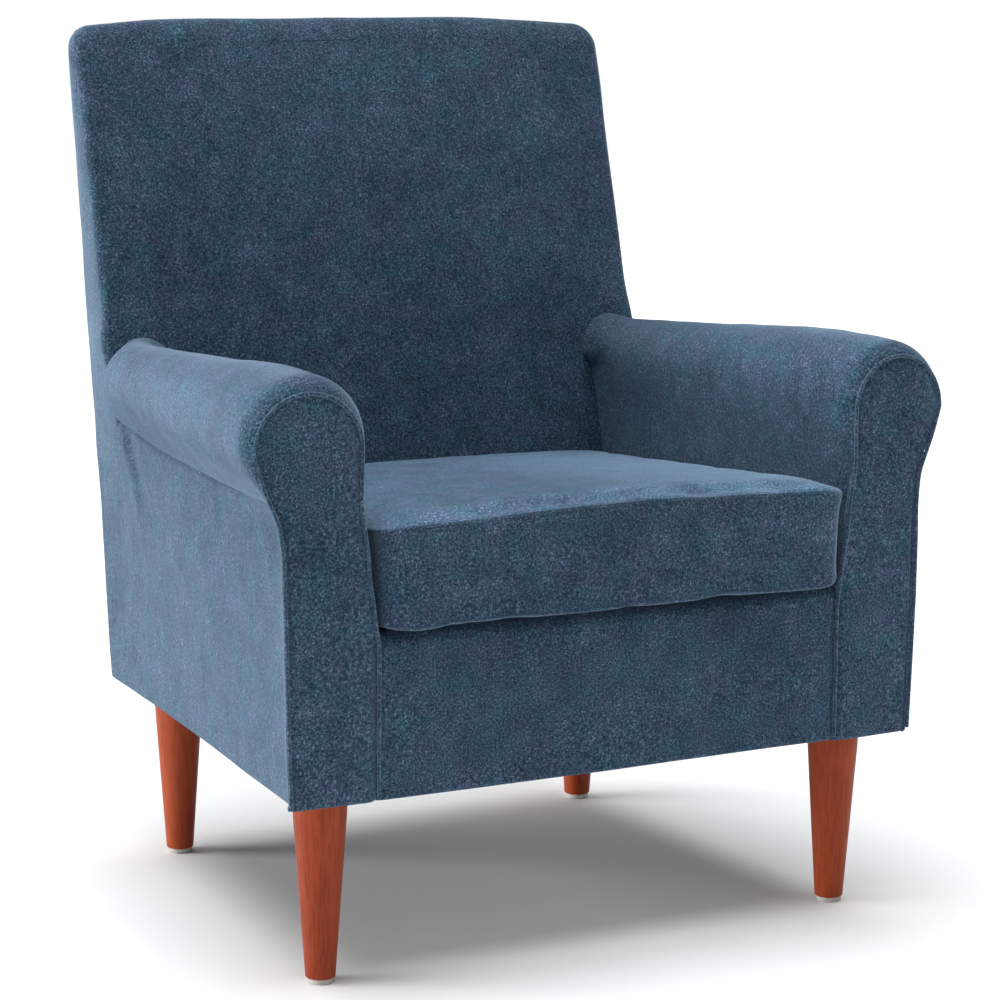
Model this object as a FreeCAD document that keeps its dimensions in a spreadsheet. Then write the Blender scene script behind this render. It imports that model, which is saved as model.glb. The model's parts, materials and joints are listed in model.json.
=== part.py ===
import FreeCAD, Part
import math
import os
import Sketcher
from FreeCAD import Rotation, Vector

# Upholstered armchair with a loose box cushion, millimetres.
# Origin: on the floor, under the middle of the chair. +Z is up and -Y is the front.
# The left side is at -X, as seen by someone who looks at the front.

DRIVING_SIZES = {
    # Outline of the whole chair
    "overall_height": 864.0,
    "body_bottom": 180.5,
    "front_reach": 300.0,
    "rear_reach": 259.0,
    "front_half_width": 325.0,
    "rear_half_width": 287.0,
    "rear_slope": 0.0909,
    # Reclined front face of the back: its depth where it passes the seat line, and its slope
    "seat_line": 425.0,
    "back_reach": 176.0,
    "back_slope": 0.277,
    "back_half_width": 304.0,
    # Frame timber
    "frame_bottom": 184.0,
    "board": 18.0,
    "post_board": 22.0,
    "scroll_board": 15.0,
    "front_rail_top": 311.0,
    "side_rail_top": 274.0,
    "rear_rail_top": 270.0,
    "post_inner": 257.0,
    "post_front": 205.0,
    "rear_rail_front": 228.0,
    "rail_end_gap": 8.0,
    "rail_gap": 3.0,
    "post_gap": 4.0,
    "post_top": 846.0,
    # Arm: a tapering roll on a leaf
    "roll_front_radius": 57.0,
    "roll_rear_radius": 37.0,
    "roll_front_offset": 311.0,
    "roll_rear_offset": 282.0,
    "roll_front_level": 507.0,
    "roll_setback": 3.6,
    "roll_rear_level": 503.0,
    "roll_end_gap": 5.0,
    "panel_radius": 52.0,
    "panel_offset": 313.0,
    "panel_level": 502.0,
    "neck_length": 14.0,
    "shoulder_drop": 25.0,
    "scroll_head_inset": 8.0,
    "scroll_inner_inset": 3.0,
    "scroll_outer_inset": 20.0,
    "arm_inner": 256.0,
    "arm_inner_rear": 248.0,
    "leaf_inner": 245.0,
    "leaf_outer": 331.0,
    "leaf_neck": 338.0,
    "arm_rail_bottom": 478.0,
    "arm_rail_thickness": 20.0,
    "arm_rail_front_inner": 29.0,
    "arm_rail_front_outer": 25.0,
    "arm_rail_rear_inner": 20.0,
    "arm_rail_rear_outer": 16.0,
    "arm_rail_gap": 1.0,
    "slot_reach": 60.0,
    "slot_drop": 20.0,
    "slot_rise": 80.0,
    "neck_slot_rise": 15.0,
    "trim_low": 400.0,
    "trim_high": 640.0,
    "trim_half_width": 400.0,
    "seam_front": 457.0,
    "seam_rear": 483.0,
    "panel_drop": 17.0,
    "panel_front_drop": 9.0,
    "panel_step": 65.0,
    "liner_front_drop": 13.0,
    "liner_rear_drop": 4.0,
    "border_drop": 13.0,
    # Soft layers
    "cover": 2.0,
    "panel_cover": 4.0,
    "liner": 2.0,
    "liner_side_inset": 14.0,
    "layer_gap": 0.1,
    "facing": 6.0,
    "back_foam": 12.0,
    "back_foam_split": 512.0,
    "lumbar_half_width": 243.0,
    "lumbar_bottom": 320.0,
    "webbing": 1.5,
    "webbing_width": 50.0,
    "webbing_spacing": 118.0,
    "strap_low_gap": 4.0,
    "strap_high_gap": 6.0,
    "wadding_lift": 40.0,
    "top_setback": 4.0,
    "top_rail_bottom": 800.0,
    "lower_rail_top": 372.0,
    "arm_foam": 12.0,
    "arm_pad_lift": 5.0,
    "arm_pad_low_reach": 3.0,
    "arm_pad_high_reach": 6.0,
    "arm_pad_front_rise": 1.0,
    "arm_pad_rear_rise": 12.0,
    # Seat deck, which slopes down to the rear
    "deck_slope": 0.08,
    "deck_half_width": 243.0,
    "wire_level": 317.0,
    "wire_radius": 1.9,
    "insulator": 2.0,
    "deck_foam": 11.0,
    "deck_cloth": 1.0,
    "deck_length": 424.0,
    "insulator_setback": 6.0,
    "border_rise": 7.0,
    "dust_front_inset": 6.0,
    "dust_rear_inset": 5.0,
    "border_setback": 3.0,
    "spring_spacing": 92.0,
    "clip_radius": 3.0,
    "clip_length": 12.0,
    "clip_play": 0.05,
    # Legs
    "leg_top_radius": 25.0,
    "leg_foot_radius": 14.0,
    "leg_cylinder": 18.0,
    "edge_break": 1.0,
    "front_leg_offset": 279.5,
    "front_leg_reach": 247.0,
    "rear_leg_offset": 239.0,
    "rear_leg_reach": 198.0,
    "glide_height": 5.0,
    "glide_radius": 12.5,
    "glide_nail_radius": 1.25,
    "glide_nail_length": 16.0,
    "bolt_radius": 4.0,
    "bolt_in_leg": 34.0,
    "bolt_in_block": 26.0,
    "plate_side": 38.0,
    "plate_thickness": 2.5,
    "screw_radius": 2.0,
    "screw_length": 18.0,
    "screw_inset": 7.5,
    "block_side": 74.0,
    "block_outer": 13.5,
    "block_height": 45.0,
    # Loose seat cushion
    "cushion_half_width": 243.0,
    "cushion_front": 321.0,
    "cushion_gap": 8.0,
    "cushion_thickness": 102.0,
    "cushion_bottom": 337.0,
    "cushion_cover": 2.0,
    "cushion_corner": 16.0,
    "cushion_rear_low": 20.0,
    "cushion_rear_high": 74.0,
    "zip_level": 28.0,
    "zip_tape_width": 26.0,
    "zip_tape_thickness": 0.8,
    "zip_half_length": 205.0,
    "slider_length": 12.0,
    "slider_height": 9.0,
    "slider_depth": 2.5,
    "slider_gap": 0.3,
    "slider_end_gap": 2.0,
    "tab_length": 24.0,
    "tab_half_height": 3.0,
}

SIDES = {"left": -1, "right": 1}
SPRING_COUNT = 5
SPRING_BEND_RADIUS = 12.0
SPRING_HALF_WIDTH = 25.0
SPRING_BARS = 21
WEBBING_COUNT = 4
SPRING_INSET = 12.0
FOAM_REAR_CROWN = 0.004
UPPER_CROWNS = (12.0, 13.0, 5.0)
LUMBAR_CROWNS = (2.0, 5.0, 8.0)
ARM_RUN = 470.0
# Shares of the corner block's side that its inner end and its bevel lie beyond the leg
BLOCK_REACH = 0.55
BLOCK_BEVEL = 0.1
# Shares of an arm front's head radius: the neck's drop and reach, and the waist's drop
NECK_DROP = 0.83
NECK_REACH = 0.62
WAIST_DROP = 2.3
TAB_THICKNESS_SHARE = 0.4


class Size:
    """A length that carries both its number and its spreadsheet formula."""

    def __init__(self, number, formula):
        self.number = float(number)
        self.formula = formula

    def __add__(self, other):
        other = as_size(other)
        return Size(self.number + other.number, f"({self.formula} + {other.formula})")

    def __sub__(self, other):
        other = as_size(other)
        return Size(self.number - other.number, f"({self.formula} - {other.formula})")

    def __mul__(self, other):
        other = as_size(other)
        return Size(self.number * other.number, f"({self.formula} * {other.formula})")

    def __truediv__(self, other):
        other = as_size(other)
        return Size(self.number / other.number, f"({self.formula} / {other.formula})")

    def __neg__(self):
        return Size(0, "0") - self

    def __float__(self):
        return self.number

    __radd__ = __add__
    __rmul__ = __mul__


def as_size(value):
    """A plain number becomes a Size with itself as its formula."""
    if isinstance(value, Size):
        return value
    return Size(value, f"({float(value)})")


doc = FreeCAD.newDocument("armchair")
sheet = doc.addObject("Spreadsheet::Sheet", "sizes")


class Sizes:
    """The driving dimensions, one attribute for each spreadsheet cell."""


size = Sizes()
for row, (alias, number) in enumerate(DRIVING_SIZES.items(), start=1):
    sheet.set(f"A{row}", alias)
    sheet.set(f"B{row}", str(number))
    sheet.setAlias(f"B{row}", alias)
    setattr(size, alias, Size(number, f"sizes.{alias}"))
doc.recompute()

sub_parts = []


def keep(item, label):
    """Make an object one of the chair's sub-parts, under its own name."""
    item.Label = label
    sub_parts.append(item)
    return item


def back_face(level, inset=0.0):
    """Depth of the reclined front face of the back at a level, moved back by an inset."""
    return size.back_reach + (as_size(level) - size.seat_line) * size.back_slope + inset


def rear_face(level, inset=0.0):
    """Depth of the outside of the back at a level, moved forward by an inset."""
    return size.rear_reach + (as_size(level) - size.body_bottom) * size.rear_slope - inset


def deck_line(depth, rise=0.0):
    """Level of the seat springs' centre line at a depth, raised by a rise."""
    return size.wire_level - (as_size(depth) + size.front_reach) * size.deck_slope + rise


# ---------------------------------------------------------------- building blocks


def origin_plane(body, role):
    """One of a body's own origin planes."""
    return next(item for item in body.Origin.OriginFeatures if item.Role == role)


def draw_polygon(sketch, corners):
    """Draw a closed polygon whose corners are each bound to spreadsheet formulas."""
    points = [Vector(float(across), float(up), 0) for across, up in corners]
    for index, point in enumerate(points):
        following = points[(index + 1) % len(points)]
        sketch.addGeometry(Part.LineSegment(point, following), False)
    for index in range(len(points)):
        following = (index + 1) % len(points)
        sketch.addConstraint(Sketcher.Constraint("Coincident", index, 2, following, 1))
    for index, (across, up) in enumerate(corners):
        for kind, length in (("DistanceX", across), ("DistanceY", up)):
            length = as_size(length)
            constraint = Sketcher.Constraint(kind, -1, 1, index, 1, length.number)
            number = sketch.addConstraint(constraint)
            sketch.setExpression(f"Constraints[{number}]", length.formula)


def bind_place(item, base=(0, 0, 0), turn=None):
    """Bind an object's position, and a turn about Z in degrees, to formulas."""
    if turn is not None:
        item.Placement = FreeCAD.Placement(Vector(), Rotation(Vector(0, 0, 1), turn.number))
        item.setExpression("Placement.Rotation.Angle", turn.formula)
    for axis, length in zip("xyz", base):
        item.setExpression(f"Placement.Base.{axis}", as_size(length).formula)


def prism(label, plane, corners, thickness, base=(0, 0, 0), turn=None, offset=0):
    """A board or sheet: a polygon on one of the body's planes, padded to a thickness."""
    body = doc.addObject("PartDesign::Body", label)
    sketch = body.newObject("Sketcher::SketchObject", f"{label}_outline")
    sketch.AttachmentSupport = (origin_plane(body, plane), [""])
    sketch.MapMode = "FlatFace"
    sketch.setExpression("AttachmentOffset.Base.z", as_size(offset).formula)
    draw_polygon(sketch, corners)
    pad = body.newObject("PartDesign::Pad", f"{label}_pad")
    pad.Profile = sketch
    pad.setExpression("Length", as_size(thickness).formula)
    body.Tip = pad
    bind_place(body, base, turn)
    return body


def turned(label, corners, base=(0, 0, 0)):
    """A turned piece: a half profile of (radius, level) corners, revolved about Z."""
    body = doc.addObject("PartDesign::Body", label)
    sketch = body.newObject("Sketcher::SketchObject", f"{label}_profile")
    sketch.AttachmentSupport = (origin_plane(body, "XZ_Plane"), [""])
    sketch.MapMode = "FlatFace"
    draw_polygon(sketch, corners)
    revolution = body.newObject("PartDesign::Revolution", f"{label}_revolution")
    revolution.Profile = sketch
    revolution.ReferenceAxis = (sketch, ["V_Axis"])
    revolution.Angle = 360
    body.Tip = revolution
    bind_place(body, base)
    return body


def box(label, low, high):
    """A plain block between two corners."""
    block = doc.addObject("Part::Box", label)
    for name, start, end in zip(("Length", "Width", "Height"), low, high):
        block.setExpression(name, (as_size(end) - start).formula)
    bind_place(block, low)
    return block


def cylinder(label, base, radius, height, axis=Vector(0, 0, 1)):
    """A cylinder that starts at a point and runs along an axis."""
    rod = doc.addObject("Part::Cylinder", label)
    rod.Placement = FreeCAD.Placement(Vector(), Rotation(Vector(0, 0, 1), axis))
    rod.setExpression("Radius", as_size(radius).formula)
    rod.setExpression("Height", as_size(height).formula)
    bind_place(rod, base)
    return rod


def fuse(label, *items):
    """Several touching solids joined into one."""
    joined = doc.addObject("Part::MultiFuse", label)
    joined.Shapes = list(items)
    joined.Refine = True
    return joined


def cut(label, item, tool):
    """One solid with another taken away."""
    result = doc.addObject("Part::Cut", label)
    result.Base = item
    result.Tool = tool
    return result


def group(label, items):
    """Identical pieces that share one node."""
    compound = doc.addObject("Part::Compound", label)
    compound.Links = list(items)
    return keep(compound, label)


def mirrored_corners(side, corners):
    """Corners drawn for the right side, put on the left or the right."""
    return [(as_size(across) * side, up) for across, up in corners]


# ---------------------------------------------------------------- seat frame

POST_BACK = size.liner + size.panel_cover
RAIL_FACE = size.front_reach - size.facing - size.scroll_board
SIDE_SPAN = size.front_reach - size.facing - size.panel_cover + size.rear_reach
SIDE_TAPER = (size.front_half_width - size.rear_half_width) / SIDE_SPAN
SIDE_TURN = Size(math.degrees(math.atan(SIDE_TAPER.number)), f"atan({SIDE_TAPER.formula})")


def side_prism(label, side, corners, inset, thickness):
    """A sheet that follows the tapering side of the chair, measured from the front corner.

    Its corners are (distance along the side, level), and its outer face lies at the inset.
    """
    start = as_size(inset) if side < 0 else -(as_size(inset) + thickness)
    base = (size.front_half_width * side, size.panel_cover + size.facing - size.front_reach, 0)
    return prism(label, "YZ_Plane", corners, thickness, base, SIDE_TURN * side, start)


def add_seat_frame():
    """Four rails and the glued corner blocks that carry the legs."""
    front_rail = box(
        "front_seat_rail",
        (size.rail_end_gap - size.roll_front_offset, -RAIL_FACE, size.frame_bottom),
        (size.roll_front_offset - size.rail_end_gap, size.board - RAIL_FACE, size.front_rail_top),
    )
    keep(front_rail, "front_seat_rail")
    rear_rail = box(
        "rear_seat_rail",
        (-size.post_inner, size.rear_rail_front, size.frame_bottom),
        (size.post_inner, size.rear_rail_front + size.board, size.rear_rail_top),
    )
    keep(rear_rail, "rear_seat_rail")
    start = size.board + size.scroll_board - size.panel_cover + size.rail_gap
    end = start + size.post_front + RAIL_FACE - size.board - size.post_gap
    for name, side in SIDES.items():
        corners = [
            (start, size.frame_bottom),
            (end, size.frame_bottom),
            (end, size.side_rail_top),
            (start, size.side_rail_top),
        ]
        rail = side_prism(f"{name}_seat_rail", side, corners, POST_BACK, size.board)
        keep(rail, f"{name}_seat_rail")


def leg_places():
    """Name, side and centre of each leg."""
    for name, side in SIDES.items():
        yield f"front_{name}", side, size.front_leg_offset * side, -size.front_leg_reach
        yield f"rear_{name}", side, size.rear_leg_offset * side, size.rear_leg_reach


def add_corner_blocks():
    """A block in each corner of the frame, bored for the leg's bolt and its plate's screws."""
    blocks = []
    for name, side, across, depth in leg_places():
        front = name.startswith("front")
        near = size.board - RAIL_FACE if front else size.rear_rail_front
        far = near + size.block_side if front else near - size.block_side
        middle = (near + far) * 0.5
        inner = across - size.block_side * side * BLOCK_REACH
        outer = across + size.block_outer * side
        bevel = across - size.block_side * side * BLOCK_BEVEL
        corners = [(inner, near), (outer, near), (outer, middle), (bevel, far), (inner, middle)]
        place = (0, 0, size.frame_bottom)
        blank = prism(f"{name}_block_blank", "XY_Plane", corners, size.block_height, place)
        bores = fuse(f"{name}_block_bores", leg_bolt(f"{name}_bore", across, depth),
                     *plate_screws(f"{name}_pilot", across, depth))
        blocks.append(cut(f"{name}_corner_block", blank, bores))
    group("corner_blocks", blocks)


# ---------------------------------------------------------------- legs


def leg_bolt(label, across, depth):
    """The hanger bolt's shank, half in the leg and half in the corner block."""
    length = size.bolt_in_leg + size.deck_cloth + size.plate_thickness + size.bolt_in_block
    return cylinder(label, (across, depth, size.body_bottom - size.bolt_in_leg), size.bolt_radius, length)


def plate_screws(label, across, depth):
    """Four flush screws that hold a leg plate to its block."""
    reach = size.plate_side * 0.5 - size.screw_inset
    level = size.body_bottom + size.deck_cloth
    screws = []
    for index, (step_x, step_y) in enumerate(((-1, -1), (1, -1), (1, 1), (-1, 1))):
        place = (across + reach * step_x, depth + reach * step_y, level)
        screws.append(cylinder(f"{label}_{index}", place, size.screw_radius, size.screw_length))
    return screws


def add_leg(name, across, depth):
    """A tapered round leg, bored for its bolt and for the nail of its glide."""
    top = size.body_bottom
    nail_end = size.glide_height + size.glide_nail_length
    leg_profile = [
        (0, nail_end),
        (size.glide_nail_radius, nail_end),
        (size.glide_nail_radius, size.glide_height),
        (size.leg_foot_radius - size.edge_break, size.glide_height),
        (size.leg_foot_radius, size.glide_height + size.edge_break),
        (size.leg_top_radius, top - size.leg_cylinder),
        (size.leg_top_radius, top - size.edge_break),
        (size.leg_top_radius - size.edge_break, top),
        (size.bolt_radius, top),
        (size.bolt_radius, top - size.bolt_in_leg),
        (0, top - size.bolt_in_leg),
    ]
    keep(turned(f"{name}_leg", leg_profile, (across, depth, 0)), f"{name}_leg")


def add_glide(name, across, depth):
    """A plastic glide with its nail, driven into the foot of a leg."""
    nail_end = size.glide_height + size.glide_nail_length
    glide_profile = [
        (0, 0),
        (size.glide_radius - size.edge_break, 0),
        (size.glide_radius, size.edge_break),
        (size.glide_radius, size.glide_height),
        (size.glide_nail_radius, size.glide_height),
        (size.glide_nail_radius, nail_end),
        (0, nail_end),
    ]
    keep(turned(f"{name}_glide", glide_profile, (across, depth, 0)), f"{name}_glide")


def add_legs():
    """Four legs and glides, and the plates, bolts and screws that hold the legs."""
    bolts = []
    plates = []
    screws = []
    half = size.plate_side * 0.5
    for name, _, across, depth in leg_places():
        add_leg(name, across, depth)
        add_glide(name, across, depth)
        blank = box(
            f"{name}_plate_blank",
            (across - half, depth - half, size.body_bottom + size.deck_cloth),
            (across + half, depth + half, size.frame_bottom),
        )
        holes = fuse(f"{name}_plate_holes", leg_bolt(f"{name}_hole", across, depth),
                     *plate_screws(f"{name}_plate_pilot", across, depth))
        plates.append(cut(f"{name}_plate", blank, holes))
        bolts.append(leg_bolt(f"{name}_bolt", across, depth))
        screws.extend(plate_screws(f"{name}_screw", across, depth))
    group("leg_bolts", bolts)
    group("leg_plates", plates)
    group("leg_plate_screws", screws)


# ---------------------------------------------------------------- back frame

RAIL_INSET = size.back_foam + size.webbing


def add_back_frame():
    """Two wedge-shaped posts with a top rail and a lower rail between them."""
    low = size.lumbar_bottom
    high = size.post_top
    post_outline = [
        (size.post_front, size.frame_bottom),
        (rear_face(size.frame_bottom, POST_BACK), size.frame_bottom),
        (rear_face(high, POST_BACK), high),
        (back_face(high, RAIL_INSET), high),
        (back_face(low, RAIL_INSET), low),
        (back_face(low, RAIL_INSET), size.side_rail_top + size.post_gap),
        (size.post_front, size.side_rail_top + size.post_gap),
    ]
    for name, side in SIDES.items():
        inner = size.post_inner if side > 0 else -(size.post_inner + size.post_board)
        post = prism(f"{name}_back_post", "YZ_Plane", post_outline, size.post_board, offset=inner)
        keep(post, f"{name}_back_post")
    top_outline = [
        (back_face(size.top_rail_bottom, RAIL_INSET), size.top_rail_bottom),
        (rear_face(size.top_rail_bottom, POST_BACK), size.top_rail_bottom),
        (rear_face(high, POST_BACK), high),
        (back_face(high, RAIL_INSET), high),
    ]
    lower_outline = [
        (back_face(low, RAIL_INSET), low),
        (back_face(low, RAIL_INSET + size.board), low),
        (back_face(size.lower_rail_top, RAIL_INSET + size.board), size.lower_rail_top),
        (back_face(size.lower_rail_top, RAIL_INSET), size.lower_rail_top),
    ]
    for label, outline in (("top_back_rail", top_outline), ("lower_back_rail", lower_outline)):
        rail = prism(label, "YZ_Plane", outline, size.post_inner * 2, offset=-size.post_inner)
        keep(rail, label)


def add_back_webbing():
    """Elastic straps from the lower back rail to the top one."""
    low = size.lumbar_bottom + size.strap_low_gap
    high = size.post_top - size.strap_high_gap
    outline = [
        (back_face(low, size.back_foam), low),
        (back_face(low, RAIL_INSET), low),
        (back_face(high, RAIL_INSET), high),
        (back_face(high, size.back_foam), high),
    ]
    straps = []
    for index in range(WEBBING_COUNT):
        centre = size.webbing_spacing * (index - (WEBBING_COUNT - 1) / 2)
        start = centre - size.webbing_width * 0.5
        label = f"back_strap_{index}"
        straps.append(prism(label, "YZ_Plane", outline, size.webbing_width, offset=start))
    group("back_webbing", straps)


# ---------------------------------------------------------------- arm frame


def scroll_shape(label, radius, inner, outer, front, thickness, side, bottom):
    """The arm's front outline: a round head on a leaf that narrows towards its foot."""
    neck = size.panel_level - radius * NECK_DROP
    waist = size.panel_level - size.panel_radius * WAIST_DROP
    shift = size.leaf_neck - size.leaf_outer
    step = inner - size.leaf_inner
    head_inner = size.panel_offset - radius
    corners = [
        (inner, bottom),
        (outer, bottom),
        (outer + shift, neck - size.neck_length),
        (size.panel_offset + radius * NECK_REACH, neck),
        (size.panel_offset, size.panel_level),
        (head_inner, size.panel_level),
        (head_inner, size.seam_front - size.shoulder_drop),
        (size.arm_inner + step, waist),
        (inner, size.lumbar_bottom),
    ]
    leaf = prism(
        f"{label}_leaf", "XZ_Plane", mirrored_corners(side, corners), thickness, (0, front + thickness, 0)
    )
    centre = (size.panel_offset * side, front, size.panel_level)
    head = cylinder(f"{label}_head", centre, radius, thickness, Vector(0, 1, 0))
    return keep(fuse(label, leaf, head), label)


def add_scroll_boards():
    """The plywood arm fronts and the padded panels that face them."""
    for name, side in SIDES.items():
        scroll_shape(
            f"{name}_scroll_board", size.panel_radius - size.scroll_head_inset,
            size.leaf_inner + size.scroll_inner_inset, size.leaf_outer - size.scroll_outer_inset,
            size.facing - size.front_reach, size.scroll_board, side, size.frame_bottom,
        )
        scroll_shape(
            f"{name}_arm_front_panel", size.panel_radius, size.leaf_inner,
            size.leaf_outer, -size.front_reach, size.facing, side, size.body_bottom,
        )


def roll(label, side, shrink=0.0):
    """The arm's tapering roll, cut off where it meets the face of the back."""
    front = size.facing + size.roll_setback - size.front_reach
    run = size.post_front - front
    cone = doc.addObject("Part::Cone", f"{label}_cone")
    drift = size.roll_rear_offset - size.roll_front_offset
    sink = size.roll_rear_level - size.roll_front_level
    axis = Vector(float(drift) * side, float(run), float(sink))
    cone.Placement = FreeCAD.Placement(Vector(), Rotation(Vector(0, 0, 1), axis))
    cone.setExpression("Radius1", (size.roll_front_radius - shrink).formula)
    cone.setExpression("Radius2", (size.roll_rear_radius - shrink).formula)
    cone.setExpression("Height", run.formula)
    bind_place(cone, (size.roll_front_offset * side, front, size.roll_front_level))
    gap = -size.roll_end_gap
    half = size.trim_half_width
    ends = [
        (back_face(size.trim_low, gap), size.trim_low),
        (half, size.trim_low),
        (half, size.trim_high),
        (back_face(size.trim_high, gap), size.trim_high),
    ]
    behind = prism(f"{label}_behind", "YZ_Plane", ends, half * 2, offset=-half)
    return cut(f"{label}_trimmed", cone, behind)


def add_arms():
    """For each arm: its top rail, the foam roll round it, its covers and its two sides."""
    liners = []
    rail_rear = size.post_front - size.arm_rail_gap
    slot_outer = size.front_half_width + size.slot_reach
    slot_low = size.seam_front - size.slot_drop
    for name, side in SIDES.items():
        rail_corners = mirrored_corners(side, [
            (size.roll_front_offset - size.arm_rail_front_inner, -RAIL_FACE),
            (size.roll_front_offset + size.arm_rail_front_outer, -RAIL_FACE),
            (size.roll_rear_offset + size.arm_rail_rear_outer, rail_rear),
            (size.roll_rear_offset - size.arm_rail_rear_inner, rail_rear),
        ])
        place = (0, 0, size.arm_rail_bottom)
        keep(
            prism(f"{name}_arm_rail", "XY_Plane", rail_corners, size.arm_rail_thickness, place),
            f"{name}_arm_rail",
        )
        rail_tool = prism(
            f"{name}_rail_slot", "XY_Plane", rail_corners, size.arm_rail_thickness, place
        )
        board_face = size.front_reach - size.facing
        board_tool = box(
            f"{name}_board_slot",
            (-slot_outer, -board_face, slot_low),
            (slot_outer, -RAIL_FACE, size.roll_front_level + size.slot_rise),
        )
        foam = roll(f"{name}_arm_foam_blank", side, size.cover)
        foam = cut(f"{name}_arm_foam_fronted", foam, board_tool)
        keep(cut(f"{name}_arm_foam", foam, rail_tool), f"{name}_arm_foam")
        outer = roll(f"{name}_arm_cover_outer", side)
        inner = roll(f"{name}_arm_cover_inner", side, size.cover)
        neck_tool = box(
            f"{name}_neck_slot",
            (-slot_outer, -board_face, slot_low),
            (slot_outer, -RAIL_FACE, size.seam_front + size.neck_slot_rise),
        )
        sleeve = cut(f"{name}_arm_cover_sleeve", outer, inner)
        keep(cut(f"{name}_arm_cover", sleeve, neck_tool), f"{name}_arm_cover")
        add_inside_arm(name, side)
        liners.append(add_outside_arm(name, side))
    group("outside_arm_liners", liners)


def add_inside_arm(name, side):
    """The padded inner face of an arm, from the seat deck up to the roll."""
    run = size.back_reach + size.front_reach - size.facing - size.scroll_board
    low = size.front_rail_top + size.arm_pad_lift
    corners = [
        (0, low),
        (run + (low - size.seam_front) * size.back_slope + size.arm_pad_low_reach, low),
        (run + size.arm_pad_high_reach, size.seam_front + size.arm_pad_rear_rise),
        (0, size.seam_front + size.arm_pad_front_rise),
    ]
    taper = (size.arm_inner - size.arm_inner_rear) / ARM_RUN
    turn = Size(math.degrees(math.atan(taper.number)), f"atan({taper.formula})")
    start = 0 if side > 0 else -size.arm_foam
    base = (size.arm_inner * side, -RAIL_FACE, 0)
    label = f"{name}_inside_arm_pad"
    pad = prism(label, "YZ_Plane", corners, size.arm_foam, base, turn * side, start)
    keep(pad, label)


def add_outside_arm(name, side):
    """The cover of the outer side, below the roll's seam, and its chipboard liner."""
    rear_low = SIDE_SPAN - size.panel_cover
    high = size.seam_rear - size.panel_drop
    outline = [
        (0, size.body_bottom),
        (rear_low, size.body_bottom),
        (rear_low + (high - size.body_bottom) * size.rear_slope, high),
        (SIDE_SPAN - size.panel_step, high),
        (0, size.seam_front - size.panel_front_drop),
    ]
    cover = side_prism(f"{name}_outside_arm_panel", side, outline, 0, size.panel_cover)
    keep(cover, f"{name}_outside_arm_panel")
    liner_outline = [
        (size.scroll_board, size.frame_bottom),
        (rear_low, size.frame_bottom),
        (rear_low, high - size.liner_rear_drop),
        (size.scroll_board, size.seam_front - size.liner_front_drop),
    ]
    return side_prism(f"{name}_arm_liner", side, liner_outline, size.panel_cover, size.liner)


# ---------------------------------------------------------------- padding and covers of the back


def tapered_slab(label, low_level, high_level, low_rectangle, high_rectangle):
    """A slab between two level rectangles, each (left, right, near, far)."""
    wedge = doc.addObject("Part::Wedge", label)
    wedge.Placement = FreeCAD.Placement(Vector(), Rotation(Vector(1, 0, 0), 90))
    left, right, near, far = (as_size(edge) for edge in low_rectangle)
    bounds = {"Xmin": left, "Xmax": right, "Zmin": -far, "Zmax": -near}
    left, right, near, far = (as_size(edge) for edge in high_rectangle)
    bounds.update({"X2min": left, "X2max": right, "Z2min": -far, "Z2max": -near})
    bounds.update({"Ymin": as_size(low_level), "Ymax": as_size(high_level)})
    for name, length in bounds.items():
        wedge.setExpression(name, length.formula)
    return wedge


def crowned_section(level, half_width, near, far, near_crown, far_crown):
    """A level outline whose near and far edges bow forward by their crowns."""
    left, right = -float(half_width), float(half_width)
    near, far, level = float(near), float(far), float(level)
    corners = [Vector(left, near, level), Vector(right, near, level),
               Vector(right, far, level), Vector(left, far, level)]
    near_middle = Vector(0, near - near_crown, level)
    far_middle = Vector(0, far - far_crown, level)
    edges = [
        Part.Arc(corners[0], near_middle, corners[1]).toShape(),
        Part.LineSegment(corners[1], corners[2]).toShape(),
        Part.Arc(corners[2], far_middle, corners[3]).toShape(),
        Part.LineSegment(corners[3], corners[0]).toShape(),
    ]
    return Part.Wire(edges)


def crowned_layer(label, stations, inset, thickness, far_flatness):
    """A soft layer on the face of the back, lofted through (level, half width, crown) stations."""
    sections = []
    for level, half_width, crown in stations:
        near = back_face(level, inset)
        far = back_face(level, inset + thickness)
        sections.append(crowned_section(level, half_width, near, far, crown, crown * far_flatness))
    layer = doc.addObject("Part::Feature", label)
    layer.Shape = Part.makeLoft(sections, True)
    layer.Placement = FreeCAD.Placement()
    return keep(layer, label)


def add_back_padding():
    """The foam and the cover of the inside back, in two parts round the arms."""
    split = size.back_foam_split
    foam_width = size.back_half_width - size.panel_cover
    upper_levels = (split, (split + size.post_top) * 0.5, size.post_top)
    lumbar_levels = (size.lumbar_bottom, (size.lumbar_bottom + split) * 0.5, split)
    upper = [(level, foam_width, crown) for level, crown in zip(upper_levels, UPPER_CROWNS)]
    lumbar = [
        (level, size.lumbar_half_width, crown) for level, crown in zip(lumbar_levels, LUMBAR_CROWNS)
    ]
    foam = size.back_foam - size.cover
    for label, stations in (("upper_back", upper), ("lumbar", lumbar)):
        inset = size.cover + size.layer_gap
        thickness = foam - size.layer_gap
        crowned_layer(f"{label}_foam", stations, inset, thickness, FOAM_REAR_CROWN)
        crowned_layer(f"{label}_cover", stations, 0, size.cover, 1.0)


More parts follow.
